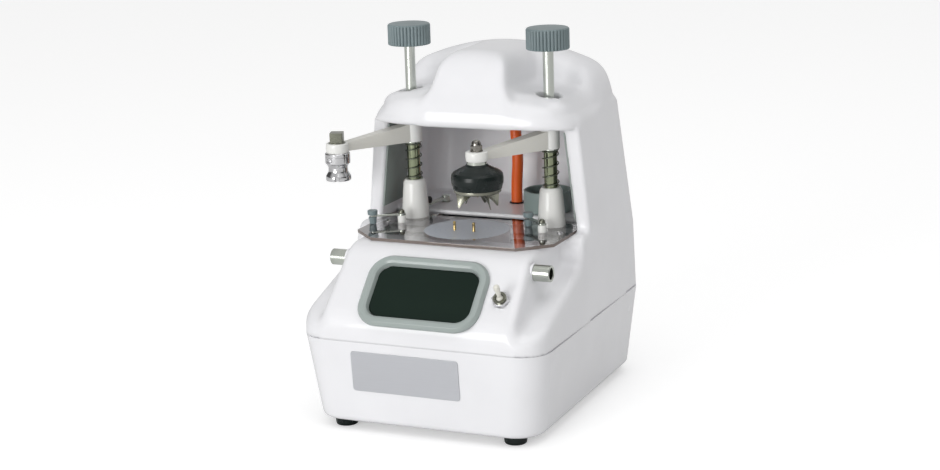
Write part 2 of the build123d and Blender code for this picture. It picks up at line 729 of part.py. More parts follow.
with BuildPart() as toggle_nut:
    with BuildSketch(toggle_plane):
        RegularPolygon(toggle_nut_flats / 2, 6, major_radius=False)
        Circle(toggle_bush_radius, mode=Mode.SUBTRACT)
    extrude(amount=toggle_nut_height)
toggle_nut.part.label = "toggle_nut"
export_step(toggle_nut.part, "parts/toggle_nut.step")


def turned(plane, outline):
    """Solid of revolution about the plane's normal; the outline lists (radius, height) points."""
    side_plane = Plane(origin=plane.origin, x_dir=plane.x_dir, z_dir=plane.x_dir.cross(plane.z_dir))
    with BuildPart() as body:
        with BuildSketch(side_plane):
            with BuildLine():
                Polyline(*outline, close=True)
            make_face()
        revolve(axis=Axis(plane.origin, plane.z_dir))
    return body.part


def upright(x, y):
    """Horizontal plane at floor level whose origin lies at the given place."""
    return Plane(origin=(x, y, 0))


with BuildPart() as toggle_lever:
    add(turned(Plane(origin=toggle_pivot, x_dir=(1, 0, 0), z_dir=toggle_tip - toggle_pivot), (
        (0, 0), (1.5, 0), (1.5, 4), (2.6, toggle_length - 3), (2.6, toggle_length - 1.2),
        (1.6, toggle_length), (0, toggle_length))))
    with Locations(toggle_pivot):
        Sphere(toggle_ball_radius)
toggle_lever.part.label = "toggle_lever"
export_step(toggle_lever.part, "parts/toggle_lever.step")

# ---------------------------------------------------------------- cross shaft, bushes, line cursor
tube_start = cross_rod_half
tube_bore_depth = 24.0
bush_outer = cross_tube_radius + running_gap + bush_wall
bush_ends = (85.0, 93.0)
sleeve_radius = 7.5
sleeve_half = 9.0
cursor_half_width = 44.0
cursor_front, cursor_rear = -88.0, 7.0
cursor_bar = 5.0
hairline_size = (0.8, 0.8)

with BuildPart() as cross_shaft:
    with BuildSketch(Plane.YZ.offset(-tube_start)):
        with Locations((cross_y, cross_z)):
            Circle(cross_rod_radius)
    extrude(amount=2 * tube_start)
    for side in (-1, 1):
        with BuildSketch(Plane.YZ.offset(side * tube_start)):
            with Locations((cross_y, cross_z)):
                Circle(cross_tube_radius)
        extrude(amount=side * (cross_half_length - tube_start))
        with BuildSketch(Plane.YZ.offset(side * cross_half_length)):
            with Locations((cross_y, cross_z)):
                Circle(cross_tube_bore)
        extrude(amount=-side * tube_bore_depth, mode=Mode.SUBTRACT)
cross_shaft.part.label = "cross_shaft"
export_step(cross_shaft.part, "parts/cross_shaft.step")

with BuildPart() as shaft_bushes:
    for side in (-1, 1):
        with BuildSketch(Plane.YZ.offset(side * bush_ends[0])):
            with Locations((cross_y, cross_z)):
                Circle(bush_outer)
                Circle(cross_tube_radius + running_gap, mode=Mode.SUBTRACT)
        extrude(amount=side * (bush_ends[1] - bush_ends[0]))
shaft_bushes.part.label = "shaft_bushes"
export_step(shaft_bushes.part, "parts/shaft_bushes.step")

with BuildPart() as cursor_carriage:
    with BuildSketch(Plane.XY.offset(cursor_z)):
        with Locations((0, (cursor_front + cursor_rear) / 2)):
            Rectangle(2 * cursor_half_width, cursor_rear - cursor_front)
            Rectangle(2 * (cursor_half_width - cursor_bar), cursor_rear - cursor_front - 2 * cursor_bar,
                      mode=Mode.SUBTRACT)
        with Locations((0, (cross_y + cursor_front) / 2)):
            Rectangle(2 * sleeve_half, cursor_front - cross_y)
    extrude(amount=cursor_thickness)
    with BuildSketch(Plane.XY.offset(cursor_z + cursor_thickness)):
        with Locations((0, (cursor_front + cursor_rear) / 2)):
            Rectangle(hairline_size[0], cursor_rear - cursor_front)
    extrude(amount=-hairline_size[1])
    with BuildSketch(Plane.YZ.offset(-sleeve_half)):
        with Locations((cross_y, cross_z)):
            Circle(sleeve_radius)
    extrude(amount=2 * sleeve_half)
    with BuildSketch(Plane.YZ.offset(-sleeve_half)):
        with Locations((cross_y, cross_z)):
            Circle(cross_rod_radius + running_gap)
    extrude(amount=2 * sleeve_half, mode=Mode.SUBTRACT)
cursor_carriage.part.label = "cursor_carriage"
export_step(cursor_carriage.part, "parts/cursor_carriage.step")

# ---------------------------------------------------------------- stage plate, target, pins
with BuildPart() as stage_plate:
    with BuildSketch(Plane.XY.offset(console_z)):
        with BuildLine():
            half, corner_x = stage_half_width, stage_half_width - stage_chamfer[0]
            corner_y = stage_front_y + stage_chamfer[1]
            Polyline(
                (-corner_x, stage_front_y), (corner_x, stage_front_y), (half, corner_y),
                (half, stage_ear_y), (stage_ear_x, stage_ear_y), (stage_ear_x, stage_rear_y),
                (-stage_ear_x, stage_rear_y), (-stage_ear_x, stage_ear_y), (-half, stage_ear_y),
                (-half, corner_y), close=True)
        make_face()
        with Locations((0, target_y)):
            Circle(target_radius + running_gap, mode=Mode.SUBTRACT)
        for side in (-1, 1):
            with Locations((side * shaft_half_spacing, 0)):
                Circle(stud_radius + running_gap, mode=Mode.SUBTRACT)
            with Locations((side * clip_post_x, clip_post_y)):
                Circle(clip_stud_radius + running_gap, mode=Mode.SUBTRACT)
            with Locations((side * stage_screw_x, stage_screw_y)):
                Circle(stage_screw_radius + running_gap, mode=Mode.SUBTRACT)
    extrude(amount=stage_thickness)
stage_plate.part.label = "stage_plate"
export_step(stage_plate.part, "parts/stage_plate.step")

with BuildPart() as target_disc:
    with BuildSketch(Plane.XY.offset(console_z)):
        with Locations((0, target_y)):
            Circle(target_radius)
        with Locations(*[(side * pin_half_spacing, pin_y) for side in (-1, 1)]):
            Circle(pin_radius + running_gap, mode=Mode.SUBTRACT)
    extrude(amount=stage_thickness)
target_disc.part.label = "target_disc"
export_step(target_disc.part, "parts/target_disc.step")

carrier_z = 146.0
carrier_thickness = 3.0
carrier_bar = 7.0
carrier_boss_radius = 8.0
carrier_boss_height = 10.0
pin_top_z = stage_z + pin_rise

with BuildPart() as lens_pins:
    for side in (-1, 1):
        add(turned(upright(side * pin_half_spacing, pin_y), (
            (0, carrier_z), (pin_radius, carrier_z), (pin_radius, pin_top_z - 1),
            (pin_radius - 0.8, pin_top_z), (0, pin_top_z))))
lens_pins.part.label = "lens_pins"
export_step(lens_pins.part, "parts/lens_pins.step")

link = Vector(*lever_pivot, 0) - Vector(0, pin_y, 0)
with BuildPart() as pin_carrier:
    with BuildSketch(Plane.XY.offset(carrier_z)):
        with Locations((0, pin_y)):
            SlotCenterToCenter(2 * pin_half_spacing, carrier_bar)
        with Locations((lever_pivot[0] / 2, (lever_pivot[1] + pin_y) / 2)):
            SlotCenterToCenter(link.length, carrier_bar, rotation=degrees(atan2(link.Y, link.X)))
        with Locations(lever_pivot):
            Circle(carrier_boss_radius)
    extrude(amount=carrier_thickness)
    with BuildSketch(Plane.XY.offset(carrier_z)):
        with Locations(lever_pivot):
            Circle(carrier_boss_radius)
    extrude(amount=carrier_boss_height)
    with BuildSketch(Plane.XY.offset(carrier_z)):
        with Locations(lever_pivot):
            Circle(lever_shaft_radius + running_gap)
        with Locations(*[(side * pin_half_spacing, pin_y) for side in (-1, 1)]):
            Circle(pin_radius)
    extrude(amount=carrier_boss_height, mode=Mode.SUBTRACT)
pin_carrier.part.label = "pin_carrier"
export_step(pin_carrier.part, "parts/pin_carrier.step")

lever_grip = (-68.0, 26.0)
lever_bar_z = 173.0
lever_bar_thickness = 2.0
lever_bar_width = 5.0
lever_shaft_foot_z = 136.0
lever_collar_radius = 7.0
lever_reach = Vector(*lever_grip, 0) - Vector(*lever_pivot, 0)
lever_middle = ((lever_grip[0] + lever_pivot[0]) / 2, (lever_grip[1] + lever_pivot[1]) / 2)

with BuildPart() as pin_lever:
    with BuildSketch(Plane.XY.offset(lever_bar_z)):
        with Locations(lever_middle):
            SlotCenterToCenter(lever_reach.length, lever_bar_width,
                               rotation=degrees(atan2(lever_reach.Y, lever_reach.X)))
        with Locations(lever_grip):
            Circle(1, mode=Mode.SUBTRACT)
    extrude(amount=lever_bar_thickness)
    add(turned(upright(*lever_pivot), (
        (0, lever_shaft_foot_z), (lever_shaft_radius, lever_shaft_foot_z),
        (lever_shaft_radius, deck_z - shell_wall - 4), (lever_collar_radius, deck_z - shell_wall - 4),
        (lever_collar_radius, deck_z - shell_wall - running_gap),
        (lever_shaft_radius, deck_z - shell_wall - running_gap),
        (lever_shaft_radius, lever_bar_z + 3), (0, lever_bar_z + 3.6))))
pin_lever.part.label = "pin_lever"
export_step(pin_lever.part, "parts/pin_lever.step")

with BuildPart() as pin_lever_knob:
    add(turned(upright(*lever_grip), (
        (0, lever_bar_z), (1, lever_bar_z), (1, lever_bar_z + lever_bar_thickness),
        (2.4, lever_bar_z + lever_bar_thickness), (3, lever_bar_z + 4), (3, lever_bar_z + 6.5),
        (2, lever_bar_z + 8), (0, lever_bar_z + 8.4))))
pin_lever_knob.part.label = "pin_lever_knob"
export_step(pin_lever_knob.part, "parts/pin_lever_knob.step")

# ---------------------------------------------------------------- lens clips
clip_post_radius = 4.05
clip_beam_z = 174.6
clip_beam_thickness = 1.8
clip_beam_width = 4.0
clip_length = 27.5
clip_knob_radius = 4.8
clip_knob_foot_z = stage_z + soft_gap
clip_knob_top_z = 181.0
clip_screw_head_z = clip_beam_z + clip_beam_thickness + running_gap
clips = (("left", -1, 212.5), ("right", 1, 139.5))

with BuildPart() as clip_posts:
    for side in (-1, 1):
        add(turned(upright(side * clip_post_x, clip_post_y), (
            (clip_stud_radius, stage_z), (clip_post_radius, stage_z),
            (clip_post_radius, clip_beam_z - running_gap - 0.5),
            (clip_post_radius - 0.5, clip_beam_z - running_gap),
            (clip_stud_radius, clip_beam_z - running_gap))))
clip_posts.part.label = "clip_posts"
export_step(clip_posts.part, "parts/clip_posts.step")

with BuildPart() as clip_screws:
    for side in (-1, 1):
        add(turned(upright(side * clip_post_x, clip_post_y), (
            (0, console_z - shell_wall - 3), (clip_stud_radius, console_z - shell_wall - 3),
            (clip_stud_radius, clip_screw_head_z), (2.9, clip_screw_head_z), (2.65, clip_screw_head_z + 2),
            (1.6, clip_screw_head_z + 3.2), (0, clip_screw_head_z + 3.6))))
clip_screws.part.label = "clip_screws"
export_step(clip_screws.part, "parts/clip_screws.step")

clip_solids = {}
for name, side, angle in clips:
    eye = Vector(side * clip_post_x, clip_post_y, 0)
    reach = Vector(clip_length * cos(radians(angle)), clip_length * sin(radians(angle)), 0)
    grip = eye + reach
    with BuildPart() as clip:
        with BuildSketch(Plane.XY.offset(clip_beam_z)):
            with Locations(eye + reach / 2):
                SlotCenterToCenter(clip_length, clip_beam_width, rotation=angle)
            with Locations(eye):
                Circle(clip_post_radius)
                Circle(clip_stud_radius + running_gap, mode=Mode.SUBTRACT)
            with Locations(grip):
                Circle(1.2, mode=Mode.SUBTRACT)
        extrude(amount=clip_beam_thickness)
    with BuildPart() as clip_knob:
        add(turned(upright(grip.X, grip.Y), (
            (0, clip_knob_foot_z), (clip_knob_radius - 1.6, clip_knob_foot_z),
            (clip_knob_radius - 0.6, clip_beam_z - 2), (clip_knob_radius - 0.6, clip_beam_z),
            (1.2, clip_beam_z), (1.2, clip_beam_z + clip_beam_thickness),
            (clip_knob_radius, clip_beam_z + clip_beam_thickness), (clip_knob_radius, clip_knob_top_z - 0.8),
            (clip_knob_radius - 0.8, clip_knob_top_z), (0, clip_knob_top_z))))
    clip_solids[name + "_clip"] = clip.part
    clip_solids[name + "_clip_knob"] = clip_knob.part
for name, solid in clip_solids.items():
    solid.label = name
    export_step(solid, f"parts/{name}.step")

with BuildPart() as stage_screws:
    for side in (-1, 1):
        add(turned(upright(side * stage_screw_x, stage_screw_y), (
            (0, console_z - shell_wall - 2), (stage_screw_radius, console_z - shell_wall - 2),
            (stage_screw_radius, stage_z), (2 * stage_screw_radius, stage_z),
            (2 * stage_screw_radius - 0.6, stage_z + 1.2), (0, stage_z + 1.8))))
stage_screws.part.label = "stage_screws"
export_step(stage_screws.part, "parts/stage_screws.step")

# ---------------------------------------------------------------- columns, springs, shafts
stud_foot_z = 152.0
column_bore = guide_radius + running_gap
nut_flats = 24.0
nut_height = 5.0
shaft_foot_z = 186.0
shaft_step_z = arm_floor_z
shaft_top_z = 349.0
washer_top_z = arm_floor_z - 2 * running_gap
washer_floor_z = washer_top_z - washer_thickness
spring_low = column_top_z + soft_gap + spring_wire / 2
spring_high = washer_floor_z - soft_gap - spring_wire / 2

with BuildPart() as guide_columns:
    for name, side in shaft_sides:
        add(turned(upright(side * shaft_half_spacing, 0), (
            (column_bore, stud_foot_z), (stud_radius, stud_foot_z), (stud_radius, stage_z),
            (column_foot_radius, stage_z), (column_foot_radius, stage_z + 2.5),
            (column_foot_radius - 0.6, stage_z + 4), (column_top_radius + 1.3, column_top_z - column_shoulder),
            (column_top_radius + 0.6, column_top_z - 2), (column_top_radius - 0.8, column_top_z),
            (column_bore, column_top_z))))
guide_columns.part.label = "guide_columns"
export_step(guide_columns.part, "parts/guide_columns.step")

with BuildPart() as column_nuts:
    with BuildSketch(Plane.XY.offset(console_z - shell_wall)):
        with Locations(*[(side * shaft_half_spacing, 0) for side in (-1, 1)]):
            RegularPolygon(nut_flats / 2, 6, major_radius=False)
            Circle(stud_radius, mode=Mode.SUBTRACT)
    extrude(amount=-nut_height)
column_nuts.part.label = "column_nuts"
export_step(column_nuts.part, "parts/column_nuts.step")

with BuildPart() as hood_bushings:
    for name, side in shaft_sides:
        add(turned(upright(side * shaft_half_spacing, 0), (
            (shaft_radius + running_gap, hood_z), (bush_hole_radius, hood_z),
            (bush_hole_radius, hood_z + shell_wall), (bush_hole_radius + 3, hood_z + shell_wall),
            (bush_hole_radius + 3, hood_z + shell_wall + 3),
            (shaft_radius + running_gap, hood_z + shell_wall + 3))))
hood_bushings.part.label = "hood_bushings"
export_step(hood_bushings.part, "parts/hood_bushings.step")


def coil_nodes(x):
    """Points and unit tangents of one spring, a quarter turn apart, with close end coils."""
    middle_pitch = (spring_high - spring_low - 1.5 * spring_end_pitch) / spring_active_turns
    pitches = [spring_end_pitch] * 3 + [middle_pitch] * int(4 * spring_active_turns) + [spring_end_pitch] * 3
    nodes = []
    height = spring_low
    for index in range(len(pitches) + 1):
        turn = index * pi / 2
        before, after = pitches[max(index - 1, 0)], pitches[min(index, len(pitches) - 1)]
        rise = (before + after) / 2 / (2 * pi)
        point = Vector(x + spring_radius * cos(turn), spring_radius * sin(turn), height)
        tangent = Vector(-spring_radius * sin(turn), spring_radius * cos(turn), rise).normalized()
        nodes.append((point, tangent))
        if index < len(pitches):
            height += pitches[index] / 4
    return nodes


def arc_middle(start, end, tangent):
    """Middle point of the arc that leaves start along the tangent and reaches end."""
    chord = end - start
    along = chord.normalized()
    across = tangent - along * tangent.dot(along)
    half_turn = atan2(across.length, tangent.dot(along))
    return start + chord / 2 + across.normalized() * (chord.length / 2 * tan(half_turn / 2))


def biarc_points(start, start_tangent, end, end_tangent):
    """Middle of the first arc, the joint and the middle of the second arc of a biarc."""
    chord, both = end - start, start_tangent + end_tangent
    slack = 2 * (1 - start_tangent.dot(end_tangent))
    reach = (-chord.dot(both) + sqrt(chord.dot(both) ** 2 + slack * chord.dot(chord))) / slack
    first, second = start + start_tangent * reach, end - end_tangent * reach
    joint = (first + second) / 2
    joint_tangent = (second - first).normalized()
    return (arc_middle(start, joint, start_tangent), joint, arc_middle(joint, end, joint_tangent))


def least_gap(path):
    """Least free space between neighbouring coils, measured on points along the wire."""
    count = 240
    points = [path.position_at(step / count) for step in range(count + 1)]
    quarter = path.length / 5 / 4
    spacing = path.length / count
    gaps = [
        (points[i] - points[j]).length
        for i in range(count + 1)
        for j in range(i + 1, count + 1)
        if (j - i) * spacing > 2 * quarter
    ]
    return min(gaps) - spring_wire


spring_solids = {}
for name, side in shaft_sides:
    nodes = coil_nodes(side * shaft_half_spacing)
    with BuildPart() as spring:
        with BuildLine() as path:
            for (start, start_tangent), (end, end_tangent) in zip(nodes, nodes[1:]):
                first, joint, second = biarc_points(start, start_tangent, end, end_tangent)
                ThreePointArc(start, first, joint)
                ThreePointArc(joint, second, end)
        with BuildSketch(Plane(origin=nodes[0][0], z_dir=nodes[0][1])):
            Circle(spring_wire / 2)
        sweep(path=path.wires()[0])
    wire_volume = path.wires()[0].length * pi * (spring_wire / 2) ** 2
    print(name, "spring gap", round(least_gap(path.wires()[0]), 3), "solids", len(spring.part.solids()),
          "volume ratio", round(spring.part.volume / wire_volume, 4))
    spring_solids[name + "_spring"] = spring.part
for name, solid in spring_solids.items():
    solid.label = name
    export_step(solid, f"parts/{name}.step")

turning_solids = {}
knob_groove = 0.7
for name, side in shaft_sides:
    place = upright(side * shaft_half_spacing, 0)
    with BuildPart() as washer:
        add(turned(place, (
            (column_bore, washer_floor_z), (washer_radius, washer_floor_z),
            (washer_radius, washer_top_z), (column_bore, washer_top_z))))
    with BuildPart() as shaft:
        add(turned(place, (
            (0, shaft_foot_z), (guide_radius - 0.6, shaft_foot_z), (guide_radius, shaft_foot_z + 0.6),
            (guide_radius, shaft_step_z), (shaft_radius, shaft_step_z), (shaft_radius, shaft_top_z),
            (0, shaft_top_z))))
    with BuildPart() as knob:
        with BuildSketch(Plane(origin=(side * shaft_half_spacing, 0, knob_floor_z))):
            Circle(knob_radius - knob_groove)
            with PolarLocations(knob_radius - knob_groove, knob_ribs):
                Circle(knob_groove)
        extrude(amount=knob_height)
        add(turned(place, (
            (shaft_radius, knob_floor_z), (knob_radius - 1, knob_floor_z), (knob_radius, knob_floor_z + 1),
            (knob_radius, knob_floor_z + knob_height - 2), (knob_radius - 2, knob_floor_z + knob_height),
            (0, knob_floor_z + knob_height), (0, shaft_top_z), (shaft_radius, shaft_top_z))),
            mode=Mode.INTERSECT)
    turning_solids[name + "_washer"] = washer.part
    turning_solids[name + "_shaft"] = shaft.part
    turning_solids[name + "_knob"] = knob.part

# ---------------------------------------------------------------- arms
eye_radius = 7.0
eye_bore = 4.0
eye_z = (240.0, 247.5)
beam_hub_z = (arm_floor_z, 259.0)
beam_eye_z = (240.0, 246.5)
beam_width = (14.0, 10.0)
arm_angles = {"left": left_arm_angle, "right": right_arm_angle}
head_places = {
    name: (side * shaft_half_spacing + arm_length * cos(radians(arm_angles[name])),
           arm_length * sin(radians(arm_angles[name])))
    for name, side in shaft_sides}

for name, side in shaft_sides:
    level = arm_plane(side, arm_angles[name], 0)
    upright_level = Plane(origin=level.origin, x_dir=level.x_dir, z_dir=level.x_dir.cross(level.z_dir))
    with BuildPart() as arm:
        with BuildSketch(upright_level):
            with BuildLine():
                Polyline((0, beam_hub_z[0]), (hub_radius, beam_hub_z[0]), (arm_length, beam_eye_z[0]),
                         (arm_length, beam_eye_z[1]), (0, beam_hub_z[1]), close=True)
            make_face()
        extrude(amount=beam_width[0], both=True)
        with BuildSketch(level.offset(beam_eye_z[0] - 1)):
            with BuildLine():
                Polyline((0, -beam_width[0] / 2), (arm_length, -beam_width[1] / 2),
                         (arm_length, beam_width[1] / 2), (0, beam_width[0] / 2), close=True)
            make_face()
        extrude(amount=hub_height + 4, mode=Mode.INTERSECT)
        with BuildSketch(level.offset(arm_floor_z)):
            Circle(hub_radius)
        extrude(amount=hub_height)
        with BuildSketch(level.offset(eye_z[0])):
            with Locations((arm_length, 0)):
                Circle(eye_radius)
        extrude(amount=eye_z[1] - eye_z[0])
        with BuildSketch(level.offset(eye_z[0] - 1)):
            Circle(shaft_radius)
            with Locations((arm_length, 0)):
                Circle(eye_bore)
        extrude(amount=hub_height + 4, mode=Mode.SUBTRACT)
    turning_solids[name + "_arm"] = arm.part

# ---------------------------------------------------------------- left head: block chuck
left_place = upright(*head_places["left"])
bolt_flats = 12.0
bolt_z = (248.5, 258.0)
bolt_foot_z = 231.0
ring_radius = 10.7
ring_z = (239.0, 248.0)
chuck_socket_radius = 6.2
chuck_socket_depth = 8.0
chuck_foot_z = 213.0
chuck_slot = 2.2

with BuildPart() as left_head_bolt:
    with BuildSketch(Plane(origin=(*head_places["left"], bolt_z[0]), x_dir=(1, 0.35, 0), z_dir=(0, 0, 1))):
        RectangleRounded(bolt_flats, bolt_flats, 0.8)
    extrude(amount=bolt_z[1] - bolt_z[0])
    with BuildSketch(Plane(origin=(*head_places["left"], ring_z[1]))):
        Circle(8)
    extrude(amount=bolt_z[0] - ring_z[1])
    with BuildSketch(Plane(origin=(*head_places["left"], bolt_foot_z))):
        Circle(eye_bore)
    extrude(amount=bolt_z[0] - bolt_foot_z)
turning_solids["left_head_bolt"] = left_head_bolt.part

with BuildPart() as left_head_ring:
    add(turned(left_place, (
        (eye_bore, ring_z[0]), (ring_radius - 0.3, ring_z[0]), (ring_radius, ring_z[0] + 1),
        (ring_radius - 0.2, ring_z[1] - 1), (ring_radius - 1, ring_z[1]), (eye_bore, ring_z[1]))))
    add(turning_solids["left_arm"], mode=Mode.SUBTRACT)
turning_solids["left_head_ring"] = left_head_ring.part

with BuildPart() as left_chuck:
    add(turned(left_place, (
        (0, chuck_foot_z), (11.3, chuck_foot_z), (11.75, chuck_foot_z + 0.5), (11.75, 220.0), (11.2, 220.5),
        (8.75, 220.5), (8.75, 228.6), (11.2, 228.6), (11.7, 229.1), (11.7, 238.4), (11.1, ring_z[0]),
        (eye_bore, ring_z[0]), (eye_bore, bolt_foot_z), (0, bolt_foot_z))))
    with BuildSketch(Plane(origin=(*head_places["left"], chuck_foot_z))):
        Circle(chuck_socket_radius)
    extrude(amount=chuck_socket_depth, mode=Mode.SUBTRACT)
    with BuildSketch(Plane(origin=(*head_places["left"], chuck_foot_z))):
        Rectangle(26, chuck_slot)
        Rectangle(chuck_slot, 26)
    extrude(amount=3, mode=Mode.SUBTRACT)
turning_solids["left_chuck"] = left_chuck.part

# ---------------------------------------------------------------- right head: sprung gripper
right_x, right_y = head_places["right"]
right_place = upright(right_x, right_y)
nut_radius = 4.5
nut_bore = 3.0
bell_foot_z = 213.9
disc_radius = 21.5
disc_z = (210.5, 213.9)
blade_angles = (25, 85, 145, 205, 325)
blade_thickness = 0.8
centre_pin_radius = 1.35
centre_pin_z = (205.5, 226.0)

with BuildPart() as right_dome_nut:
    add(turned(right_place, (
        (nut_bore, ring_z[1]), (nut_radius + 1, ring_z[1]), (nut_radius + 1, ring_z[1] + 1),
        (nut_radius, ring_z[1] + 1), (nut_radius, 255.5), (nut_radius - 0.9, 257.6), (nut_radius - 2.4, 258.8),
        (0, 259.2), (0, 254), (nut_bore, 254))))
turning_solids["right_dome_nut"] = right_dome_nut.part

with BuildPart() as right_head_ring:
    add(turned(right_place, (
        (eye_bore, ring_z[0]), (ring_radius - 0.8, ring_z[0]), (ring_radius - 0.45, ring_z[0] + 1),
        (ring_radius - 0.6, ring_z[1] - 1), (ring_radius - 1.4, ring_z[1]), (eye_bore, ring_z[1]))))
    add(turning_solids["right_arm"], mode=Mode.SUBTRACT)
turning_solids["right_head_ring"] = right_head_ring.part

with BuildPart() as grip_spindle:
    add(turned(right_place, (
        (centre_pin_radius + running_gap, disc_z[1]), (eye_bore, disc_z[1]), (eye_bore, 236.4), (9, 236.4),
        (9, ring_z[0]), (eye_bore, ring_z[0]), (eye_bore, ring_z[1]), (nut_bore, ring_z[1]), (nut_bore, 254),
        (0, 254), (0, 232), (centre_pin_radius + running_gap, 232))))
turning_solids["grip_spindle"] = grip_spindle.part

with BuildPart() as rubber_bell:
    add(turned(right_place, (
        (eye_bore, 236.4), (9.6, 236.4), (14, 235.6), (19, 233.8), (22.4, 231.5), (23.3, 229.5),
        (23.9, 225), (23.9, bell_foot_z), (disc_radius, bell_foot_z), (disc_radius, 226), (20, 229),
        (15, 232), (eye_bore, 233))))
turning_solids["rubber_bell"] = rubber_bell.part

with BuildPart() as finger_plate:
    with BuildSketch(Plane(origin=(right_x, right_y, disc_z[0]))):
        Circle(disc_radius)
        Circle(centre_pin_radius + running_gap, mode=Mode.SUBTRACT)
    extrude(amount=disc_z[1] - disc_z[0])
    for angle in blade_angles:
        outward = Vector(cos(radians(angle)), sin(radians(angle)), 0)
        blade_plane = Plane(origin=(right_x, right_y, 0), x_dir=outward, z_dir=outward.cross(Vector(0, 0, 1)))
        with BuildSketch(blade_plane):
            with BuildLine():
                Polyline((8, disc_z[0]), (8.5, 205.5), (17.6, 196.6), (19, 197.6), (19, disc_z[0]), close=True)
            make_face()
        extrude(amount=blade_thickness / 2, both=True)
turning_solids["finger_plate"] = finger_plate.part

with BuildPart() as centre_pin:
    add(turned(right_place, (
        (0, centre_pin_z[0]), (0.5, centre_pin_z[0]), (centre_pin_radius, centre_pin_z[0] + 1.4),
        (centre_pin_radius, centre_pin_z[1]), (0, centre_pin_z[1]))))
turning_solids["centre_pin"] = centre_pin.part

for name, solid in turning_solids.items():
    solid.label = name
    export_step(solid, f"parts/{name}.step")

# ---------------------------------------------------------------- deck fittings
cup_radius = 23.0
cup_height = 20.5
cup_wall = 2.0
lead_radius = 5.4
lead_points = ((lead_x, lead_y, 150.0), (lead_x, lead_y, 186.0), (7.6, 70.4, 215.0),
               (lead_x, lead_y, 245.0), (lead_x, lead_y, 275.0))
panel_thickness = 1.5
panel_y = (-12.0, 35.0)
panel_z = (178.0, 258.0)
grommet_radius = 7.4
grommet_height = 1.0

with BuildPart() as pin_cup:
    add(turned(upright(*cup_place), (
        (0, deck_z), (cup_radius - 1, deck_z), (cup_radius, deck_z + 1),
        (cup_radius, deck_z + cup_height - 0.8), (cup_radius - 0.8, deck_z + cup_height),
        (cup_radius - cup_wall, deck_z + cup_height), (cup_radius - cup_wall, deck_z + cup_wall),
        (0, deck_z + cup_wall))))
pin_cup.part.label = "pin_cup"
export_step(pin_cup.part, "parts/pin_cup.step")

lead_radii = []
for before, corner, after in zip(lead_points, lead_points[1:], lead_points[2:]):
    run_in, run_out = Vector(*corner) - Vector(*before), Vector(*after) - Vector(*corner)
    half_turn = radians(run_in.get_angle(run_out)) / 2
    lead_radii.append(0.45 * min(run_in.length, run_out.length) / tan(half_turn))
with BuildPart() as lamp_lead:
    with BuildLine() as lead_path:
        FilletPolyline(*lead_points, radius=lead_radii)
    with BuildSketch(Plane(origin=lead_points[0], z_dir=lead_path.wires()[0] % 0)):
        Circle(lead_radius)
    sweep(path=lead_path.wires()[0])
lead_volume = lead_path.wires()[0].length * pi * lead_radius ** 2
print("lead radii", [round(radius) for radius in lead_radii], "length", round(lead_path.wires()[0].length, 1),
      "volume ratio", round(lamp_lead.part.volume / lead_volume, 4))
lamp_lead.part.label = "lamp_lead"
export_step(lamp_lead.part, "parts/lamp_lead.step")

with BuildPart() as lead_grommets:
    for face_z, outward in ((deck_z, 1), (hood_z, -1)):
        add(turned(upright(lead_x, lead_y), (
            (lead_radius, face_z - outward * shell_wall), (lead_hole_radius, face_z - outward * shell_wall),
            (lead_hole_radius, face_z), (grommet_radius, face_z),
            (grommet_radius - 0.6, face_z + outward * grommet_height),
            (lead_radius, face_z + outward * grommet_height))))
lead_grommets.part.label = "lead_grommets"
export_step(lead_grommets.part, "parts/lead_grommets.step")

with BuildPart() as side_panels:
    add(recess_body(0))
    add(recess_body(-panel_thickness), mode=Mode.SUBTRACT)
    with BuildSketch(Plane.XY.offset(panel_z[0])):
        with Locations((0, (panel_y[0] + panel_y[1]) / 2)):
            Rectangle(4 * recess_half_low, panel_y[1] - panel_y[0])
    extrude(amount=panel_z[1] - panel_z[0], mode=Mode.INTERSECT)
side_panels.part.label = "side_panels"
export_step(side_panels.part, "parts/side_panels.step")

# ---------------------------------------------------------------- inside the case
mirror_size = (96.0, 86.0)
mirror_thickness = 4.0
mirror_z = 33.0
mirror_normal = (0, -sin(pi / 8), cos(pi / 8))
mirror_plane = Plane(origin=(0, target_y, mirror_z), x_dir=(1, 0, 0), z_dir=mirror_normal)
bracket_rib = 3.0
bracket_half = 38.0
bracket_front = mirror_plane.from_local_coords((0, -mirror_size[1] / 2, -mirror_thickness / 2))
bracket_back = mirror_plane.from_local_coords((0, mirror_size[1] / 2, -mirror_thickness / 2))
lamp_place = (0.0, lamp_y)
lamp_floor_z = hood_z + shell_wall
lamp_holder_radius = 12.0
lamp_holder_height = 23.0
bulb_radius = 8.0
transformer_place = (52.0, foot_rows_y[1] - 38)
transformer_size = (60.0, 50.0)
transformer_height = 45.0

with BuildPart() as mirror:
    with BuildSketch(mirror_plane):
        Rectangle(*mirror_size)
    extrude(amount=mirror_thickness / 2, both=True)
mirror.part.label = "mirror"
export_step(mirror.part, "parts/mirror.step")

with BuildPart() as mirror_bracket:
    for side in (-1, 1):
        with BuildSketch(Plane.YZ.offset(side * bracket_half)):
            with BuildLine():
                Polyline((bracket_front.Y, bracket_front.Z), (bracket_back.Y, bracket_back.Z),
                         (bracket_back.Y, base_top_z), (bracket_front.Y, base_top_z), close=True)
            make_face()
        extrude(amount=-side * bracket_rib)
    with BuildSketch(Plane.XY.offset(base_top_z)):
        with Locations((0, (bracket_front.Y + bracket_back.Y) / 2)):
            Rectangle(2 * bracket_half + 20, 20)
    extrude(amount=2)
mirror_bracket.part.label = "mirror_bracket"
export_step(mirror_bracket.part, "parts/mirror_bracket.step")

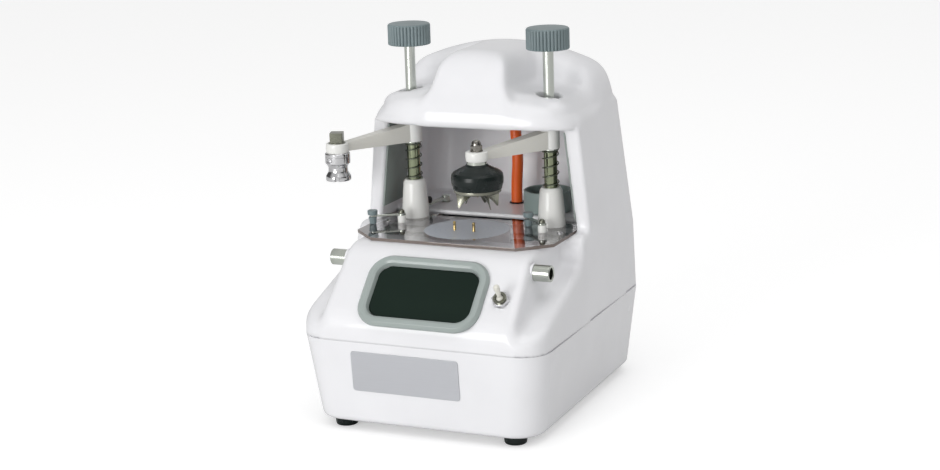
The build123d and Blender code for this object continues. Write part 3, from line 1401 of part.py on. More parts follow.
with BuildPart() as lamp_holder:
    add(turned(upright(*lamp_place), (
        (bulb_radius + 1, lamp_floor_z), (lamp_holder_radius, lamp_floor_z),
        (lamp_holder_radius, lamp_floor_z + lamp_holder_height), (5, lamp_floor_z + lamp_holder_height),
        (5, lamp_floor_z + lamp_holder_height - 3), (bulb_radius + 1, lamp_floor_z + lamp_holder_height - 3))))
lamp_holder.part.label = "lamp_holder"
export_step(lamp_holder.part, "parts/lamp_holder.step")

with BuildPart() as lamp_bulb:
    with Locations((*lamp_place, lamp_floor_z + bulb_radius + 2)):
        Sphere(bulb_radius)
    add(turned(upright(*lamp_place), (
        (0, lamp_floor_z + bulb_radius + 2), (5, lamp_floor_z + bulb_radius + 2),
        (5, lamp_floor_z + lamp_holder_height + 2), (0, lamp_floor_z + lamp_holder_height + 2))))
lamp_bulb.part.label = "lamp_bulb"
export_step(lamp_bulb.part, "parts/lamp_bulb.step")

with BuildPart() as transformer:
    with BuildSketch(Plane.XY.offset(base_top_z)):
        with Locations(transformer_place):
            Rectangle(transformer_size[0] + 12, 20)
    extrude(amount=2)
    with BuildSketch(Plane.XY.offset(base_top_z)):
        with Locations(transformer_place):
            Rectangle(*transformer_size)
    extrude(amount=transformer_height)
    with BuildSketch(Plane.XY.offset(base_top_z + 6)):
        with Locations(transformer_place):
            RectangleRounded(transformer_size[0] - 20, transformer_size[1] + 16, 5)
    extrude(amount=transformer_height - 12)
transformer.part.label = "transformer"
export_step(transformer.part, "parts/transformer.step")
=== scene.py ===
"""Looks of a benchtop lens centring and blocking instrument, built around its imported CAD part.

Lengths in the tables are millimetres; every mesh is in metres in the CAD frame: X right, Y back, Z up.
"""
import json
import math

import bmesh
import bpy
import numpy as np
from mathutils import Matrix, Vector


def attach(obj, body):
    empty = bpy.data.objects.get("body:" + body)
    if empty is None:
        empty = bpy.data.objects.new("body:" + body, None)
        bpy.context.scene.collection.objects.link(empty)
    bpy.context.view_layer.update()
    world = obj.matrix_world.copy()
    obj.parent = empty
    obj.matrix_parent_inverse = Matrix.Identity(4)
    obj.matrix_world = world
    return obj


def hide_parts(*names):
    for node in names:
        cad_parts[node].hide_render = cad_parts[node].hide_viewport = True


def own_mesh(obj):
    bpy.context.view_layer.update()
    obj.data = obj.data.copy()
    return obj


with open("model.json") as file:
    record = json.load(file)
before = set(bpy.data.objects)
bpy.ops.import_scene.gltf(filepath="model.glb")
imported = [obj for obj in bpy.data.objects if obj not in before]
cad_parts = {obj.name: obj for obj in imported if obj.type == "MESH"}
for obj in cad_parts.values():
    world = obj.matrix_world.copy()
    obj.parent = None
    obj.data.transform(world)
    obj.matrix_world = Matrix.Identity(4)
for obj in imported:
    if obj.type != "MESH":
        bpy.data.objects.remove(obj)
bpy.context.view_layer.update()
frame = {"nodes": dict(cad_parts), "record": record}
MM = 0.001

# The stems stand at STEM_X on either side. The arms meet over the target, so its place follows from them.
STEM_X, ARM_LENGTH = 70.0, 79.0
TARGET_Y = -math.sqrt(ARM_LENGTH ** 2 - STEM_X ** 2)

# ---------------------------------------------------------------- camera
VIEW_PLACE = (0.792816, -1.764527, 0.618590)
VIEW_YAW, VIEW_PITCH, VIEW_ROLL = math.radians(24.5709), math.radians(13.5054), math.radians(1.8494)
PICTURE_WIDTH, FOCAL_PIXELS, SENSOR_WIDTH = 940, 2107.56, 36


def viewing_camera():
    """Camera whose back, right and up directions follow from yaw, pitch and roll of the picture."""
    level = math.cos(VIEW_PITCH)
    back = Vector((math.sin(VIEW_YAW) * level, -math.cos(VIEW_YAW) * level, math.sin(VIEW_PITCH)))
    right = Vector((math.cos(VIEW_YAW), math.sin(VIEW_YAW), 0))
    up = back.cross(right)
    level_right = right * math.cos(VIEW_ROLL) - up * math.sin(VIEW_ROLL)
    level_up = right * math.sin(VIEW_ROLL) + up * math.cos(VIEW_ROLL)
    camera = bpy.data.objects.new("camera", bpy.data.cameras.new("camera"))
    camera.data.lens, camera.data.sensor_width = FOCAL_PIXELS / PICTURE_WIDTH * SENSOR_WIDTH, SENSOR_WIDTH
    camera.data.clip_start, camera.data.clip_end = 0.05, 50
    rows = [(level_right[i], level_up[i], back[i], VIEW_PLACE[i]) for i in range(3)]
    camera.matrix_world = Matrix((*rows, (0, 0, 0, 1)))
    bpy.context.scene.collection.objects.link(camera)
    bpy.context.scene.camera = camera


viewing_camera()


# ---------------------------------------------------------------- shader maths
class Value:
    """A shader socket that takes part in Python expressions; each operation adds its Math node."""

    def __init__(self, shading, socket):
        self.shading, self.socket = shading, socket

    def _math(self, operation, *terms):
        return self.shading.node("Math", {"operation": operation}, dict(enumerate(terms)))

    def __add__(self, other):
        return self._math("ADD", self, other)

    def __sub__(self, other):
        return self._math("SUBTRACT", self, other)

    def __rsub__(self, other):
        return self._math("SUBTRACT", other, self)

    def __mul__(self, other):
        return self._math("MULTIPLY", self, other)

    def __pow__(self, other):
        return self._math("POWER", self, other)

    __radd__, __rmul__ = __add__, __mul__

    def size(self):
        return self._math("ABSOLUTE", self)

    def larger(self, other):
        return self._math("MAXIMUM", self, other)

    def smaller(self, other):
        return self._math("MINIMUM", self, other)

    def between(self, low, high):
        """0 below low, 1 above high and a smooth step from one to the other."""
        return self.shading.node("MapRange", {"interpolation_type": "SMOOTHSTEP"}, {0: self, 1: low, 2: high})


class Shading:
    """A node tree under construction around its main shader, with the coordinates it reads."""

    def __init__(self, tree, shader, coordinates):
        self.tree, self.shader = tree, tree.nodes[shader]
        self.place = self.node("TexCoord", output=coordinates)

    def feed(self, socket, value):
        if isinstance(value, Value):
            self.tree.links.new(value.socket, socket)
        else:
            socket.default_value = value

    def set(self, **sockets):
        for name, value in sockets.items():
            self.feed(self.shader.inputs[name.replace("_", " ")], value)

    def node(self, kind, settings=None, sockets=None, output=0):
        """Adds a shader node: its settings first, then its sockets."""
        made = self.tree.nodes.new("ShaderNode" + kind)
        for name, value in (settings or {}).items():
            setattr(made, name, value)
        for name, value in (sockets or {}).items():
            self.feed(made.inputs[name], value)
        return Value(self, made.outputs[output])

    def axis(self, index, vector=None):
        return self.node("SeparateXYZ", {}, {0: vector or self.place}, output=index)


class Finish(Shading):
    """A material under construction around one Principled shader."""

    def __init__(self, name, colour=None, **sockets):
        self.material = bpy.data.materials.new(name)
        self.material.use_nodes = True
        super().__init__(self.material.node_tree, "Principled BSDF", "Object")
        if colour:
            self.set(Base_Color=(*colour, 1))
        self.set(**sockets)

    def noise(self, scale, detail=2, stretch=None):
        vector = self.place
        if stretch:
            vector = self.node("Mapping", {}, {"Vector": self.place, "Scale": stretch})
        return self.node("TexNoise", {}, {"Vector": vector, "Scale": scale, "Detail": detail})

    def mix(self, factor, low, high):
        """Colour low where factor is 0 and high where it is 1."""
        colours = [value if isinstance(value, Value) else (*value, 1) for value in (low, high)]
        return self.node("Mix", {"data_type": "RGBA"}, {0: factor, 6: colours[0], 7: colours[1]}, output=2)

    def bump(self, height, strength, distance=0.0002):
        self.set(Normal=self.node("Bump", {}, {"Height": height, "Strength": strength, "Distance": distance}))


MARKS, MARK_DEPTH = 1600, 0.00005


def gloss_shell(name, colour, rough=0.38):
    """Sprayed and polished shell: faint clouds in the colour, an orange-peel skin under a clear coat."""
    shell = Finish(name, Coat_Weight=0.5, Coat_Roughness=0.05, Specular_IOR_Level=0.4)
    clouds = shell.noise(14, 3)
    shade = [value * 0.955 for value in colour]
    shell.set(Base_Color=shell.mix(clouds.between(0.3, 0.75), colour, shade),
              Roughness=rough + 0.10 * shell.noise(60, 3))
    shell.bump(shell.noise(260, 2), 0.05)
    return shell.material


def moulded(name, colour, rough=0.4, relief=0.12, spread=0.18):
    """Moulded plastic: a fine grain, slightly uneven colour and gloss."""
    skin = Finish(name)
    darker, lighter = [v * (1 - spread) for v in colour], [v * (1 + spread) for v in colour]
    skin.set(Base_Color=skin.mix(skin.noise(35, 3), darker, lighter),
             Roughness=rough + 0.12 * (skin.noise(90, 2) - 0.5))
    skin.bump(skin.noise(1500, 2), relief)
    return skin.material


def turned_metal(name, colour, rough=0.22, relief=0.10, dirt=0.25):
    """Turned metal: fine marks round the Z axis, with darker, duller patches."""
    metal = Finish(name, Metallic=1.0)
    marks = metal.noise(MARKS, 2, (0.03, 0.03, 1))
    patches = metal.noise(45, 4)
    metal.set(Base_Color=metal.mix(patches.between(0.35, 0.8), colour, [v * (1 - dirt) for v in colour]),
              Roughness=rough + 0.16 * (marks - 0.5) + 0.12 * patches.between(0.4, 0.8))
    metal.bump(marks, relief, MARK_DEPTH)
    return metal.material


def arm_paint(arm, hub):
    """Sprayed arm with a paler hub within about 9.4 mm of either stem's axis; the darker beige of the arm
    beyond the hub is painted shade of its side.
    """
    paint = Finish("arm_paint", Coat_Weight=0.3, Coat_Roughness=0.1)
    across, along = paint.axis(0).size() - STEM_X * MM, paint.axis(1)
    reach = (across * across + along * along) ** 0.5
    clouds = paint.noise(30, 3)
    # The arm beyond the hub gets the darker beige: painted shade, with random clouds in it.
    shaded_arm_colour = paint.mix(clouds.between(0.3, 0.75), arm, [value * 0.94 for value in arm])
    paint.set(Base_Color=paint.mix(reach.between(0.0092, 0.0097), hub, shaded_arm_colour),
              Roughness=0.34 + 0.1 * clouds)
    paint.bump(paint.noise(260, 2), 0.05)
    return paint.material


def stem_steel(lower, upper):
    """Drawn tube: darker and olive below the arms, where it stands inside the spring under the hood, which is
    painted shade; bright above, with fine marks along it.
    """
    metal = Finish("stem_steel", Metallic=1.0)
    marks = metal.noise(MARKS, 2, (1, 1, 0.03))
    # Above the arms the stem gets its lit colour; below them it gets the painted shade.
    high = metal.axis(2).between(0.2405, 0.2412)
    metal.set(Base_Color=metal.mix(high, lower, upper), Roughness=0.12 + 0.10 * marks)
    metal.bump(marks, 0.05, MARK_DEPTH)
    return metal.material


def rubber_skin(name, colour):
    """Matt rubber with a fine grain and a little dust in broad patches."""
    rubber = Finish(name, Specular_IOR_Level=0.30)
    dust = rubber.noise(28, 4).between(0.5, 0.85)
    rubber.set(Base_Color=rubber.mix(dust, colour, [v + 0.006 for v in colour]),
               Roughness=0.26 + 0.14 * dust)
    rubber.bump(rubber.noise(900, 3), 0.05)
    return rubber.material


def clear_stage():
    """Polished clear plate: mirror-like by Fresnel, see-through between, with dark sawn edges."""
    clear = Finish("clear_plate", Roughness=0.03)
    facing = clear.axis(2, clear.node("NewGeometry", output="Normal")).size()
    edge = 1 - facing.between(0.35, 0.75)
    gloss = clear.node("Fresnel", {}, {"IOR": 1.5})
    clear.set(Base_Color=clear.mix(edge, (0.94, 0.93, 0.94), (0.21, 0.17, 0.15)),
              Metallic=1 - edge,
              Alpha=(gloss * 1.5 + 0.07 + 0.03 * clear.noise(30, 2)).larger(edge * 0.8))
    return clear.material


def frosted_target():
    """Frosted disc with a fine engraved cross and rings 5 mm apart about its middle."""
    glass = Finish("frosted_glass", Specular_IOR_Level=0.6)
    x = glass.axis(0)
    y = glass.axis(1) - TARGET_Y * MM
    reach = (x * x + y * y) ** 0.5
    ring = glass.node("Math", {"operation": "PINGPONG"}, {0: reach, 1: 0.0025}).between(0.0002, 0.00045)
    cross = x.size().smaller(y.size()).between(0.00012, 0.0003)
    lines = 1 - ring.smaller(cross)
    haze = glass.noise(220, 3)
    glass.set(Base_Color=glass.mix(lines * 0.55, (0.66, 0.70, 0.76), (0.34, 0.38, 0.45)),
              Roughness=0.16 + 0.12 * haze, Alpha=0.80 + 0.18 * lines)
    glass.bump(haze, 0.05)
    return glass.material


def dark_window():
    """Very dark green viewing glass with a clean polish and a faint smear."""
    glass = Finish("dark_window", Specular_IOR_Level=0.16)
    smear = glass.noise(9, 3, (1, 3, 3))
    glass.set(Base_Color=glass.mix(smear, (0.005, 0.013, 0.009), (0.009, 0.020, 0.014)),
              Roughness=0.05 + 0.05 * smear)
    return glass.material


def brushed_plate(name, colour, rough=0.34):
    """Sheet metal brushed along X."""
    sheet = Finish(name, Metallic=0.85)
    hairs = sheet.noise(1800, 2, (0.02, 1, 1))
    sheet.set(Base_Color=sheet.mix(hairs, [v * 0.93 for v in colour], colour),
              Roughness=rough + 0.12 * hairs)
    sheet.bump(hairs, 0.08, MARK_DEPTH)
    return sheet.material


FINISHES = {
    "white_shell": gloss_shell("white_shell", (0.83, 0.83, 0.85)),
    "white_tray": gloss_shell("white_tray", (0.84, 0.84, 0.86), 0.20),
    "cream_post": gloss_shell("cream_post", (0.82, 0.82, 0.79), 0.32),
    # The arm's darker beige beside the pale hub colour is painted shade.
    "arm_paint": arm_paint((0.66, 0.65, 0.60), (0.84, 0.84, 0.82)),
    "grey_knob": moulded("grey_knob", (0.185, 0.235, 0.245), 0.38),
    "steel": turned_metal("turned_steel", (0.62, 0.65, 0.59), 0.16),
    "chrome": turned_metal("chrome", (0.72, 0.72, 0.73), 0.10, relief=0.04, dirt=0.15),
    "spring_steel": turned_metal("spring_wire", (0.20, 0.22, 0.17), 0.3, relief=0.05),
    "dark_steel": turned_metal("dark_steel", (0.23, 0.235, 0.19)),
    "finger_steel": turned_metal("finger_steel", (0.34, 0.34, 0.28), dirt=0.5),
    # The stem's dark olive below the arms is painted shade of the part inside the spring.
    "stem": stem_steel((0.30, 0.33, 0.22), (0.66, 0.69, 0.64)),
    "nut_chrome": turned_metal("nut_chrome", (0.42, 0.40, 0.36), 0.08, relief=0.03, dirt=0.5),
    "ivory": moulded("ivory", (0.74, 0.73, 0.66), 0.35, relief=0.03, spread=0.04),
    "black_rubber": rubber_skin("black_rubber", (0.006, 0.011, 0.010)),
    "acrylic": clear_stage(),
    "target_face": frosted_target(),
    "dark_glass": dark_window(),
    "bezel_grey": moulded("bezel_grey", (0.34, 0.385, 0.37), 0.24, relief=0.04, spread=0.05),
    "plate_silver": brushed_plate("plate_silver", (0.60, 0.61, 0.64)),
    "brass": turned_metal("brass", (0.60, 0.45, 0.20), 0.25),
    "orange_sleeve": moulded("orange_sleeve", (0.82, 0.13, 0.02), 0.35, relief=0.06, spread=0.08),
    "cup_grey": moulded("cup_grey", (0.27, 0.335, 0.32), 0.35, relief=0.05),
    # The side panels' dark grey-green is painted shade: it stands for the shadow on the recess's inner side
    # walls.
    "panel_dark": moulded("panel_dark", (0.27, 0.31, 0.29), 0.5),
    "black_plastic": moulded("black_plastic", (0.02, 0.02, 0.02)),
    "galvanised": brushed_plate("galvanised", (0.50, 0.52, 0.53), 0.4),
    "mirror_face": turned_metal("mirror_face", (0.85, 0.86, 0.86), 0.02, relief=0.0, dirt=0.03),
    "bulb_glass": moulded("bulb_glass", (0.80, 0.78, 0.70), 0.1, relief=0.02),
    "copper_coil": moulded("varnished_core", (0.24, 0.11, 0.05), 0.5),
}
slot_of = {entry["node"]: entry["material_slot"] for entry in frame["record"]["subparts"]}
for name, node in frame["nodes"].items():
    node.data.materials.clear()
    node.data.materials.append(FINISHES[slot_of[name]])


# ---------------------------------------------------------------- floor, backdrop and light
WORLD_LEVEL, SIDE_CARDS = 0.62, 0.12
FLOOR_REACH = 12.0
LAMPS = (
    ("key_light", (-0.6, -2.5, 0.38), 1.2, 31),
    ("fill_light", (1.6, -1.9, 0.8), 2.0, 1),
    ("top_light", (0.4, -0.4, 2.3), 1.8, 10),
)
LAMPS_FACE = Vector((0, 0, 0.18))


def studio():
    """Pale floor, white surroundings with darker side cards for mirror rays only, soft plain lamps."""
    scene = bpy.context.scene
    scene.view_settings.view_transform = "Standard"
    world = bpy.data.worlds.new("surround")
    scene.world = world
    world.use_nodes = True
    sky = Shading(world.node_tree, "Background", "Generated")
    seen, through, mirrored = [sky.node("LightPath", output=f"Is {ray} Ray") for ray in
                               ("Camera", "Transmission", "Glossy")]
    level = WORLD_LEVEL + (1 - WORLD_LEVEL) * seen.larger(through)
    aside = sky.node("MapRange", {}, {0: sky.axis(0).size(), 1: 0.62, 2: 0.86})
    sky.set(Color=(1, 1, 1, 1), Strength=level * (1 - (1 - SIDE_CARDS) * aside * mirrored))

    floor_mesh = bpy.data.meshes.new("floor")
    corners = [(x * FLOOR_REACH, y * FLOOR_REACH, 0) for x, y in ((-1, -1), (1, -1), (1, 1), (-1, 1))]
    floor_mesh.from_pydata(corners, [], [(0, 1, 2, 3)])
    floor = bpy.data.objects.new("floor", floor_mesh)
    scene.collection.objects.link(floor)
    ground = Finish("pale_floor", (0.80, 0.80, 0.80), Roughness=0.9, Specular_IOR_Level=0.1)
    rays = ground.node("LightPath", output="Is Camera Ray")
    ground.set(Emission_Color=(1, 1, 1, 1), Emission_Strength=rays * 0.40)
    floor_mesh.materials.append(ground.material)

    for name, place, size, power in LAMPS:
        lamp = bpy.data.lights.new(name, "AREA")
        lamp.shape, lamp.size, lamp.energy = "SQUARE", size, power
        holder = bpy.data.objects.new(name, lamp)
        holder.location = place
        holder.rotation_euler = (LAMPS_FACE - Vector(place)).to_track_quat("-Z", "Y").to_euler()
        scene.collection.objects.link(holder)


studio()


# ---------------------------------------------------------------- meshes
def mesh_object(name, points, faces):
    """Smooth-shaded object from an array of points in metres and an array of faces of equal size."""
    mesh = bpy.data.meshes.new(name)
    faces = np.asarray(faces)
    mesh.vertices.add(len(points))
    mesh.vertices.foreach_set("co", np.asarray(points, np.float32).ravel())
    mesh.loops.add(faces.size)
    mesh.loops.foreach_set("vertex_index", faces.ravel().astype(np.int32))
    mesh.polygons.add(len(faces))
    mesh.polygons.foreach_set("loop_start", np.arange(0, faces.size, faces.shape[1], dtype=np.int32))
    mesh.update(calc_edges=True)
    mesh.validate()
    mesh.shade_smooth()
    thing = bpy.data.objects.new(name, mesh)
    bpy.context.scene.collection.objects.link(thing)
    return thing


def tidy_mesh(thing, sharp=40):
    """Merges doubles, closes poles, turns faces outwards and marks edges over the sharp angle."""
    work = bmesh.new()
    work.from_mesh(thing.data)
    bmesh.ops.remove_doubles(work, verts=work.verts, dist=1e-6)
    bmesh.ops.dissolve_degenerate(work, edges=work.edges, dist=1e-7)
    bmesh.ops.recalc_face_normals(work, faces=work.faces)
    work.to_mesh(thing.data)
    work.free()
    thing.data.shade_smooth()
    thing.data.set_sharp_from_angle(angle=math.radians(sharp))
    return thing


def finished(thing, body, slot, *nodes, finish=None):
    """Gives a piece its finish and slot, lets it ride on its body and stand for CAD nodes."""
    thing.data.materials.clear()
    thing.data.materials.append(FINISHES[finish or slot])
    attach(thing, body)
    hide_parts(*nodes)


def grid_faces(rows, columns, wrap_rows=False, wrap_columns=True):
    """Quads of a rows by columns grid of points, joined end to end where it wraps."""
    i = np.arange(rows if wrap_rows else rows - 1)[:, None]
    j = np.arange(columns if wrap_columns else columns - 1)[None, :]
    i2, j2 = (i + 1) % rows, (j + 1) % columns
    quads = np.stack([i * columns + j, i * columns + j2, i2 * columns + j2, i2 * columns + j], axis=-1)
    return quads.reshape(-1, 4)


ARC_STEPS = 5


def rounded_outline(corners):
    """Outline through (radius, height[, round]) corners. A corner with a round becomes the arc tangent to
    both runs: it starts round x tan(turn / 2) before the corner and its centre lies on the bisector."""
    outline = []
    for index, corner in enumerate(corners):
        point = np.array(corner[:2], float)
        if len(corner) < 3:
            outline.append(point)
            continue
        before = np.array(corners[index - 1][:2], float) - point
        after = np.array(corners[index + 1][:2], float) - point
        room = 0.49 * min(np.linalg.norm(before), np.linalg.norm(after))
        before, after = before / np.linalg.norm(before), after / np.linalg.norm(after)
        half = math.acos(np.clip(before @ after, -1, 1)) / 2
        round_size = min(corner[2], room * math.tan(half))
        centre = point + (before + after) / np.linalg.norm(before + after) * round_size / math.sin(half)
        start, end = [point + way * round_size / math.tan(half) for way in (before, after)]
        share = np.linspace(0, 1, ARC_STEPS + 1)[:, None]
        spokes = (start - centre) * (1 - share) + (end - centre) * share
        outline.extend(centre + spokes / np.linalg.norm(spokes, axis=1)[:, None] * round_size)
    return np.array(outline)


def lathe(name, centre, corners, segments=96, shape=None, closed=False, sharp=40):
    """Surface of revolution: point (r, z) of the rounded outline at angle a lies at
    centre + (r' cos a, r' sin a, z), where shape(r, z, a) may change r to r'."""
    outline = rounded_outline(corners)
    angle = np.linspace(0, 2 * math.pi, segments, endpoint=False)[None, :]
    radius, height = outline[:, :1] + 0 * angle, outline[:, 1:] + 0 * angle
    if shape:
        radius = shape(radius, height, angle + 0 * radius)
    x, y = centre[0] + radius * np.cos(angle), centre[1] + radius * np.sin(angle)
    points = np.stack([x, y, height], axis=-1).reshape(-1, 3)
    thing = mesh_object(name, points * MM, grid_faces(len(outline), segments, wrap_rows=closed))
    return tidy_mesh(thing, sharp)


def joined(name, things):
    """One object from several, their meshes laid together."""
    work = bmesh.new()
    for thing in things:
        work.from_mesh(thing.data)
        bpy.data.objects.remove(thing)
    mesh = bpy.data.meshes.new(name)
    work.to_mesh(mesh)
    work.free()
    mesh.shade_smooth()
    thing = bpy.data.objects.new(name, mesh)
    bpy.context.scene.collection.objects.link(thing)
    return thing


def softened(node, width, body, finish=None):
    """Copy of a CAD node with its doubles merged, flat triangles joined and every edge over 32 degrees
    rounded by a bevel of the given width."""
    work = bmesh.new()
    work.from_mesh(frame["nodes"][node].data)
    bmesh.ops.remove_doubles(work, verts=work.verts, dist=2e-6)
    bmesh.ops.dissolve_limit(work, angle_limit=math.radians(0.6), verts=work.verts, edges=work.edges)
    plain = bpy.data.meshes.new(node + "_piece")
    work.verts.ensure_lookup_table()
    work.verts.index_update()
    plain.from_pydata([vertex.co for vertex in work.verts], [],
                      [[vertex.index for vertex in face.verts] for face in work.faces])
    work.free()
    thing = bpy.data.objects.new(node + "_piece", plain)
    bpy.context.scene.collection.objects.link(thing)
    bevel = thing.modifiers.new("edges", "BEVEL")
    bevel.width, bevel.segments, bevel.limit_method = width * MM, 2, "ANGLE"
    bevel.angle_limit, bevel.use_clamp_overlap = math.radians(32), True
    thing.data.shade_smooth()
    thing.data.set_sharp_from_angle(angle=math.radians(50))
    finished(thing, body, slot_of[node], node, finish=finish)


# ---------------------------------------------------------------- upper housing
def soft_max(a, b, blend):
    """Larger of two distances; where they differ by less than the blend the corner is rounded off."""
    share = np.maximum(blend - np.abs(a - b), 0) / blend
    return np.maximum(a, b) + share * share * blend / 4


def soft_min(a, b, blend):
    """Smaller of two distances with a hollow fillet where they meet."""
    return -soft_max(-a, -b, blend)


def past_line(y, z, first, second):
    """Distance in front of the line through two (Y, Z) points, on its left as seen along it."""
    run, rise = second[0] - first[0], second[1] - first[1]
    return (-(y - first[0]) * rise + (z - first[1]) * run) / math.hypot(run, rise)


def rounded_slab(u, v, half_u, half_v, corner):
    """Distance to a rectangle with rounded corners, seen flat on."""
    over_u, over_v = np.abs(u) - half_u + corner, np.abs(v) - half_v + corner
    outer = np.hypot(np.maximum(over_u, 0), np.maximum(over_v, 0))
    return outer + np.minimum(np.maximum(over_u, over_v), 0) - corner


SHELL_WALL = 4.0
SEAM_CLOSED = 0.46
SEAM_Z, STAGE_FLOOR_Z, DECK_Z, HOOD_Z, SHELF_Z, CROWN_Z = 87.0, 164.6, 170.0, 262.0, 291.0, 329.5
WAIST_Z, TOP_Z = 150, 335
FRONT_Y, SHOULDER_Y, SHOULDER_Z, SHOULDER_SLOPE = -156, -42, 141.4, 0.356
LIP_Y, LIP_BOW, PILLAR_Y, DECK_STEP_Y, RECESS_REAR_Y = -38, 57.05, -14, 20, 104
# The console's face slopes at 45 degrees on the plane Z - Y = SLOPE_RISE and starts at SLOPE_EDGE_Y.
SLOPE_RISE = 264
SLOPE_EDGE_Y = -99.4
WINDOW_DROP, SWITCH_DROP, SWITCH_X = 48.7, 48.2, 75
DIAGONAL = math.sqrt(2)


def rear_wall(z):
    """Y of the rear wall, which leans forward above the waist."""
    return np.interp(z, (SEAM_Z, WAIST_Z, TOP_Z), (126, 125, 112))


def housing_outside(x, y, z):
    """Distance to the outer form: shoulders, console, curbs, pillars, hood lip, nose and crown are
    half spaces, joined with hollow fillets and then cut by the leaning side walls with round edges."""
    across = np.abs(x)
    half_front = np.interp(z, (SEAM_Z, WAIST_Z, TOP_Z), (121, 118.6, 100))
    half_back = np.interp(z, (SEAM_Z, WAIST_Z, TOP_Z), (113.5, 112, 94))
    rear_y = rear_wall(z)
    share = np.clip((y - FRONT_Y) / (rear_y - FRONT_Y), 0, 1)
    side = across - (half_front + (half_back - half_front) * share)
    plan = soft_max(soft_max(side, FRONT_Y - y, 33), y - rear_y, 29)

    shoulder = z - (SHOULDER_Z + SHOULDER_SLOPE * (y - SHOULDER_Y))
    shoulder = shoulder / math.hypot(1, SHOULDER_SLOPE)
    curb = soft_max(past_line(y, z, (SHOULDER_Y, SHOULDER_Z), (-34, 167)), z - 167, 10)
    slope = (z - y - SLOPE_RISE) / DIAGONAL
    console_side = across - (96.8 - 0.0734 * (z - SEAM_Z))
    console = soft_max(soft_max(slope, z - STAGE_FLOOR_Z, 10), console_side, 9)
    console = soft_max(console, y - 30, 2)
    low = soft_min(soft_min(shoulder, curb, 7), console, 8)

    lip_bow = np.clip(across - 58, 0, 50)
    lip_y = LIP_Y + LIP_BOW - np.sqrt(LIP_BOW ** 2 - lip_bow ** 2)
    shelf = z - SHELF_Z + 0.0022 * np.maximum(across - 36, 0) ** 2
    lip = soft_max(soft_max(lip_y - y, shelf, 26), HOOD_Z - z, 5)
    pillar = soft_max(PILLAR_Y - y, shelf, 8)
    crown = (z - (CROWN_Z - 0.0025 * x * x)) / np.sqrt(1 + (0.005 * x) ** 2)
    crown = soft_max(crown, y - rear_y, 46)
    nose_half = np.interp(z, (284, 327), (41, 32))
    nose = soft_max(soft_max(past_line(y, z, (-37, 283), (-12, 327)), -34 - y, 14), across - nose_half, 7)
    pocket_wall = np.maximum(past_line(y, z, (37, 289), (57, 323)), 20 - y)
    raised = soft_max(soft_min(nose, pocket_wall, 10), crown, 14)
    above = np.clip((z - 266) / 16, 0, 1)
    high = soft_min(raised, lip, 10)
    high = np.minimum(high, pillar) * (1 - above) + soft_min(high, pillar, 10) * above
    both = soft_min(low, high, 6)
    edge = np.interp(z, (87, 145, 163, 262, 276, 300, 330), (9, 8, 4, 4, 26, 18, 13))
    return soft_max(both, plan, edge)


def recess_inside(x, y, z):
    """Distance to the open space between the pillars, whose floor steps up to the deck at its rear."""
    half = np.interp(z, (STAGE_FLOOR_Z, HOOD_Z), (100.2, 89.3))
    floor = np.where(y > DECK_STEP_Y, DECK_Z, STAGE_FLOOR_Z)
    walls = soft_max(np.abs(x) - half, y - RECESS_REAR_Y, 22)
    walls = soft_max(walls, floor - z, 3)
    return np.maximum(soft_max(walls, z - HOOD_Z, 6), -60 - y)


def housing_holes(x, y, z):
    """Distance to the holes: window and switch in the slope, upright wells and the cross shaft's way."""
    across = np.abs(x)
    drop = ((y - SLOPE_EDGE_Y) + (z - STAGE_FLOOR_Z)) / DIAGONAL
    off_slope = np.abs((z - y - SLOPE_RISE) / DIAGONAL) - 8
    holes = [
        np.maximum(rounded_slab(x, drop + WINDOW_DROP, 51, 27, 16), off_slope),
        np.maximum(np.hypot(x - SWITCH_X, drop + SWITCH_DROP) - 6.05, off_slope),
        np.maximum(np.hypot(y + 97.6, z - 148.4) - 7.3, np.abs(across - 93) - 7),
    ]
    for off_x, well_y, radius, low, high in (
        (x, TARGET_Y, 36.5, 150, 180),          # light through the target
        (x - 4.5, 72, 5.9, 150, 285),           # orange lead
        (x + 65, 58, 4.05, 150, 180),           # pin lever
        (x, -2, 9, 250, 275),                   # lamp
        (across - STEM_X, 0, 9.05, 150, 180),   # columns
        (across - STEM_X, 0, 8.05, 256, 272),   # stems, below and at the hood's shelf
        (across - STEM_X, 0, 11.5, 283, 301),
    ):
        off_z = np.abs(z - (low + high) / 2) - (high - low) / 2
        holes.append(np.maximum(np.hypot(off_x, y - well_y) - radius, off_z))
    return np.minimum.reduce(holes)


def housing_distance(x, y, z):
    """Distance to the whole shell: outside minus hollow, recess, holes and rear opening, with the screw
    posts left in the hollow."""
    outside = housing_outside(x, y, z)
    recess = recess_inside(x, y, z)
    wall = np.interp(z, (HOOD_Z, HOOD_Z + 8), (SHELL_WALL, 2 * SHELL_WALL))
    hollow = np.maximum(outside + wall, SHELL_WALL - recess)
    across = np.abs(x)
    posts = np.minimum(np.hypot(across - 98, y + 112), np.hypot(across - 96, y - 70)) - 6.5
    hollow = np.maximum(hollow, -np.maximum(posts, z - 120))
    body = soft_max(soft_max(outside, -recess, 3), -hollow, 1)
    service = np.maximum(rounded_slab(x, z - 222, 67, 34, 6), np.abs(y - rear_wall(z)) - 6)
    body = np.maximum(np.maximum(body, -housing_holes(x, y, z)), -service)
    return np.maximum(body, SEAM_Z - z)


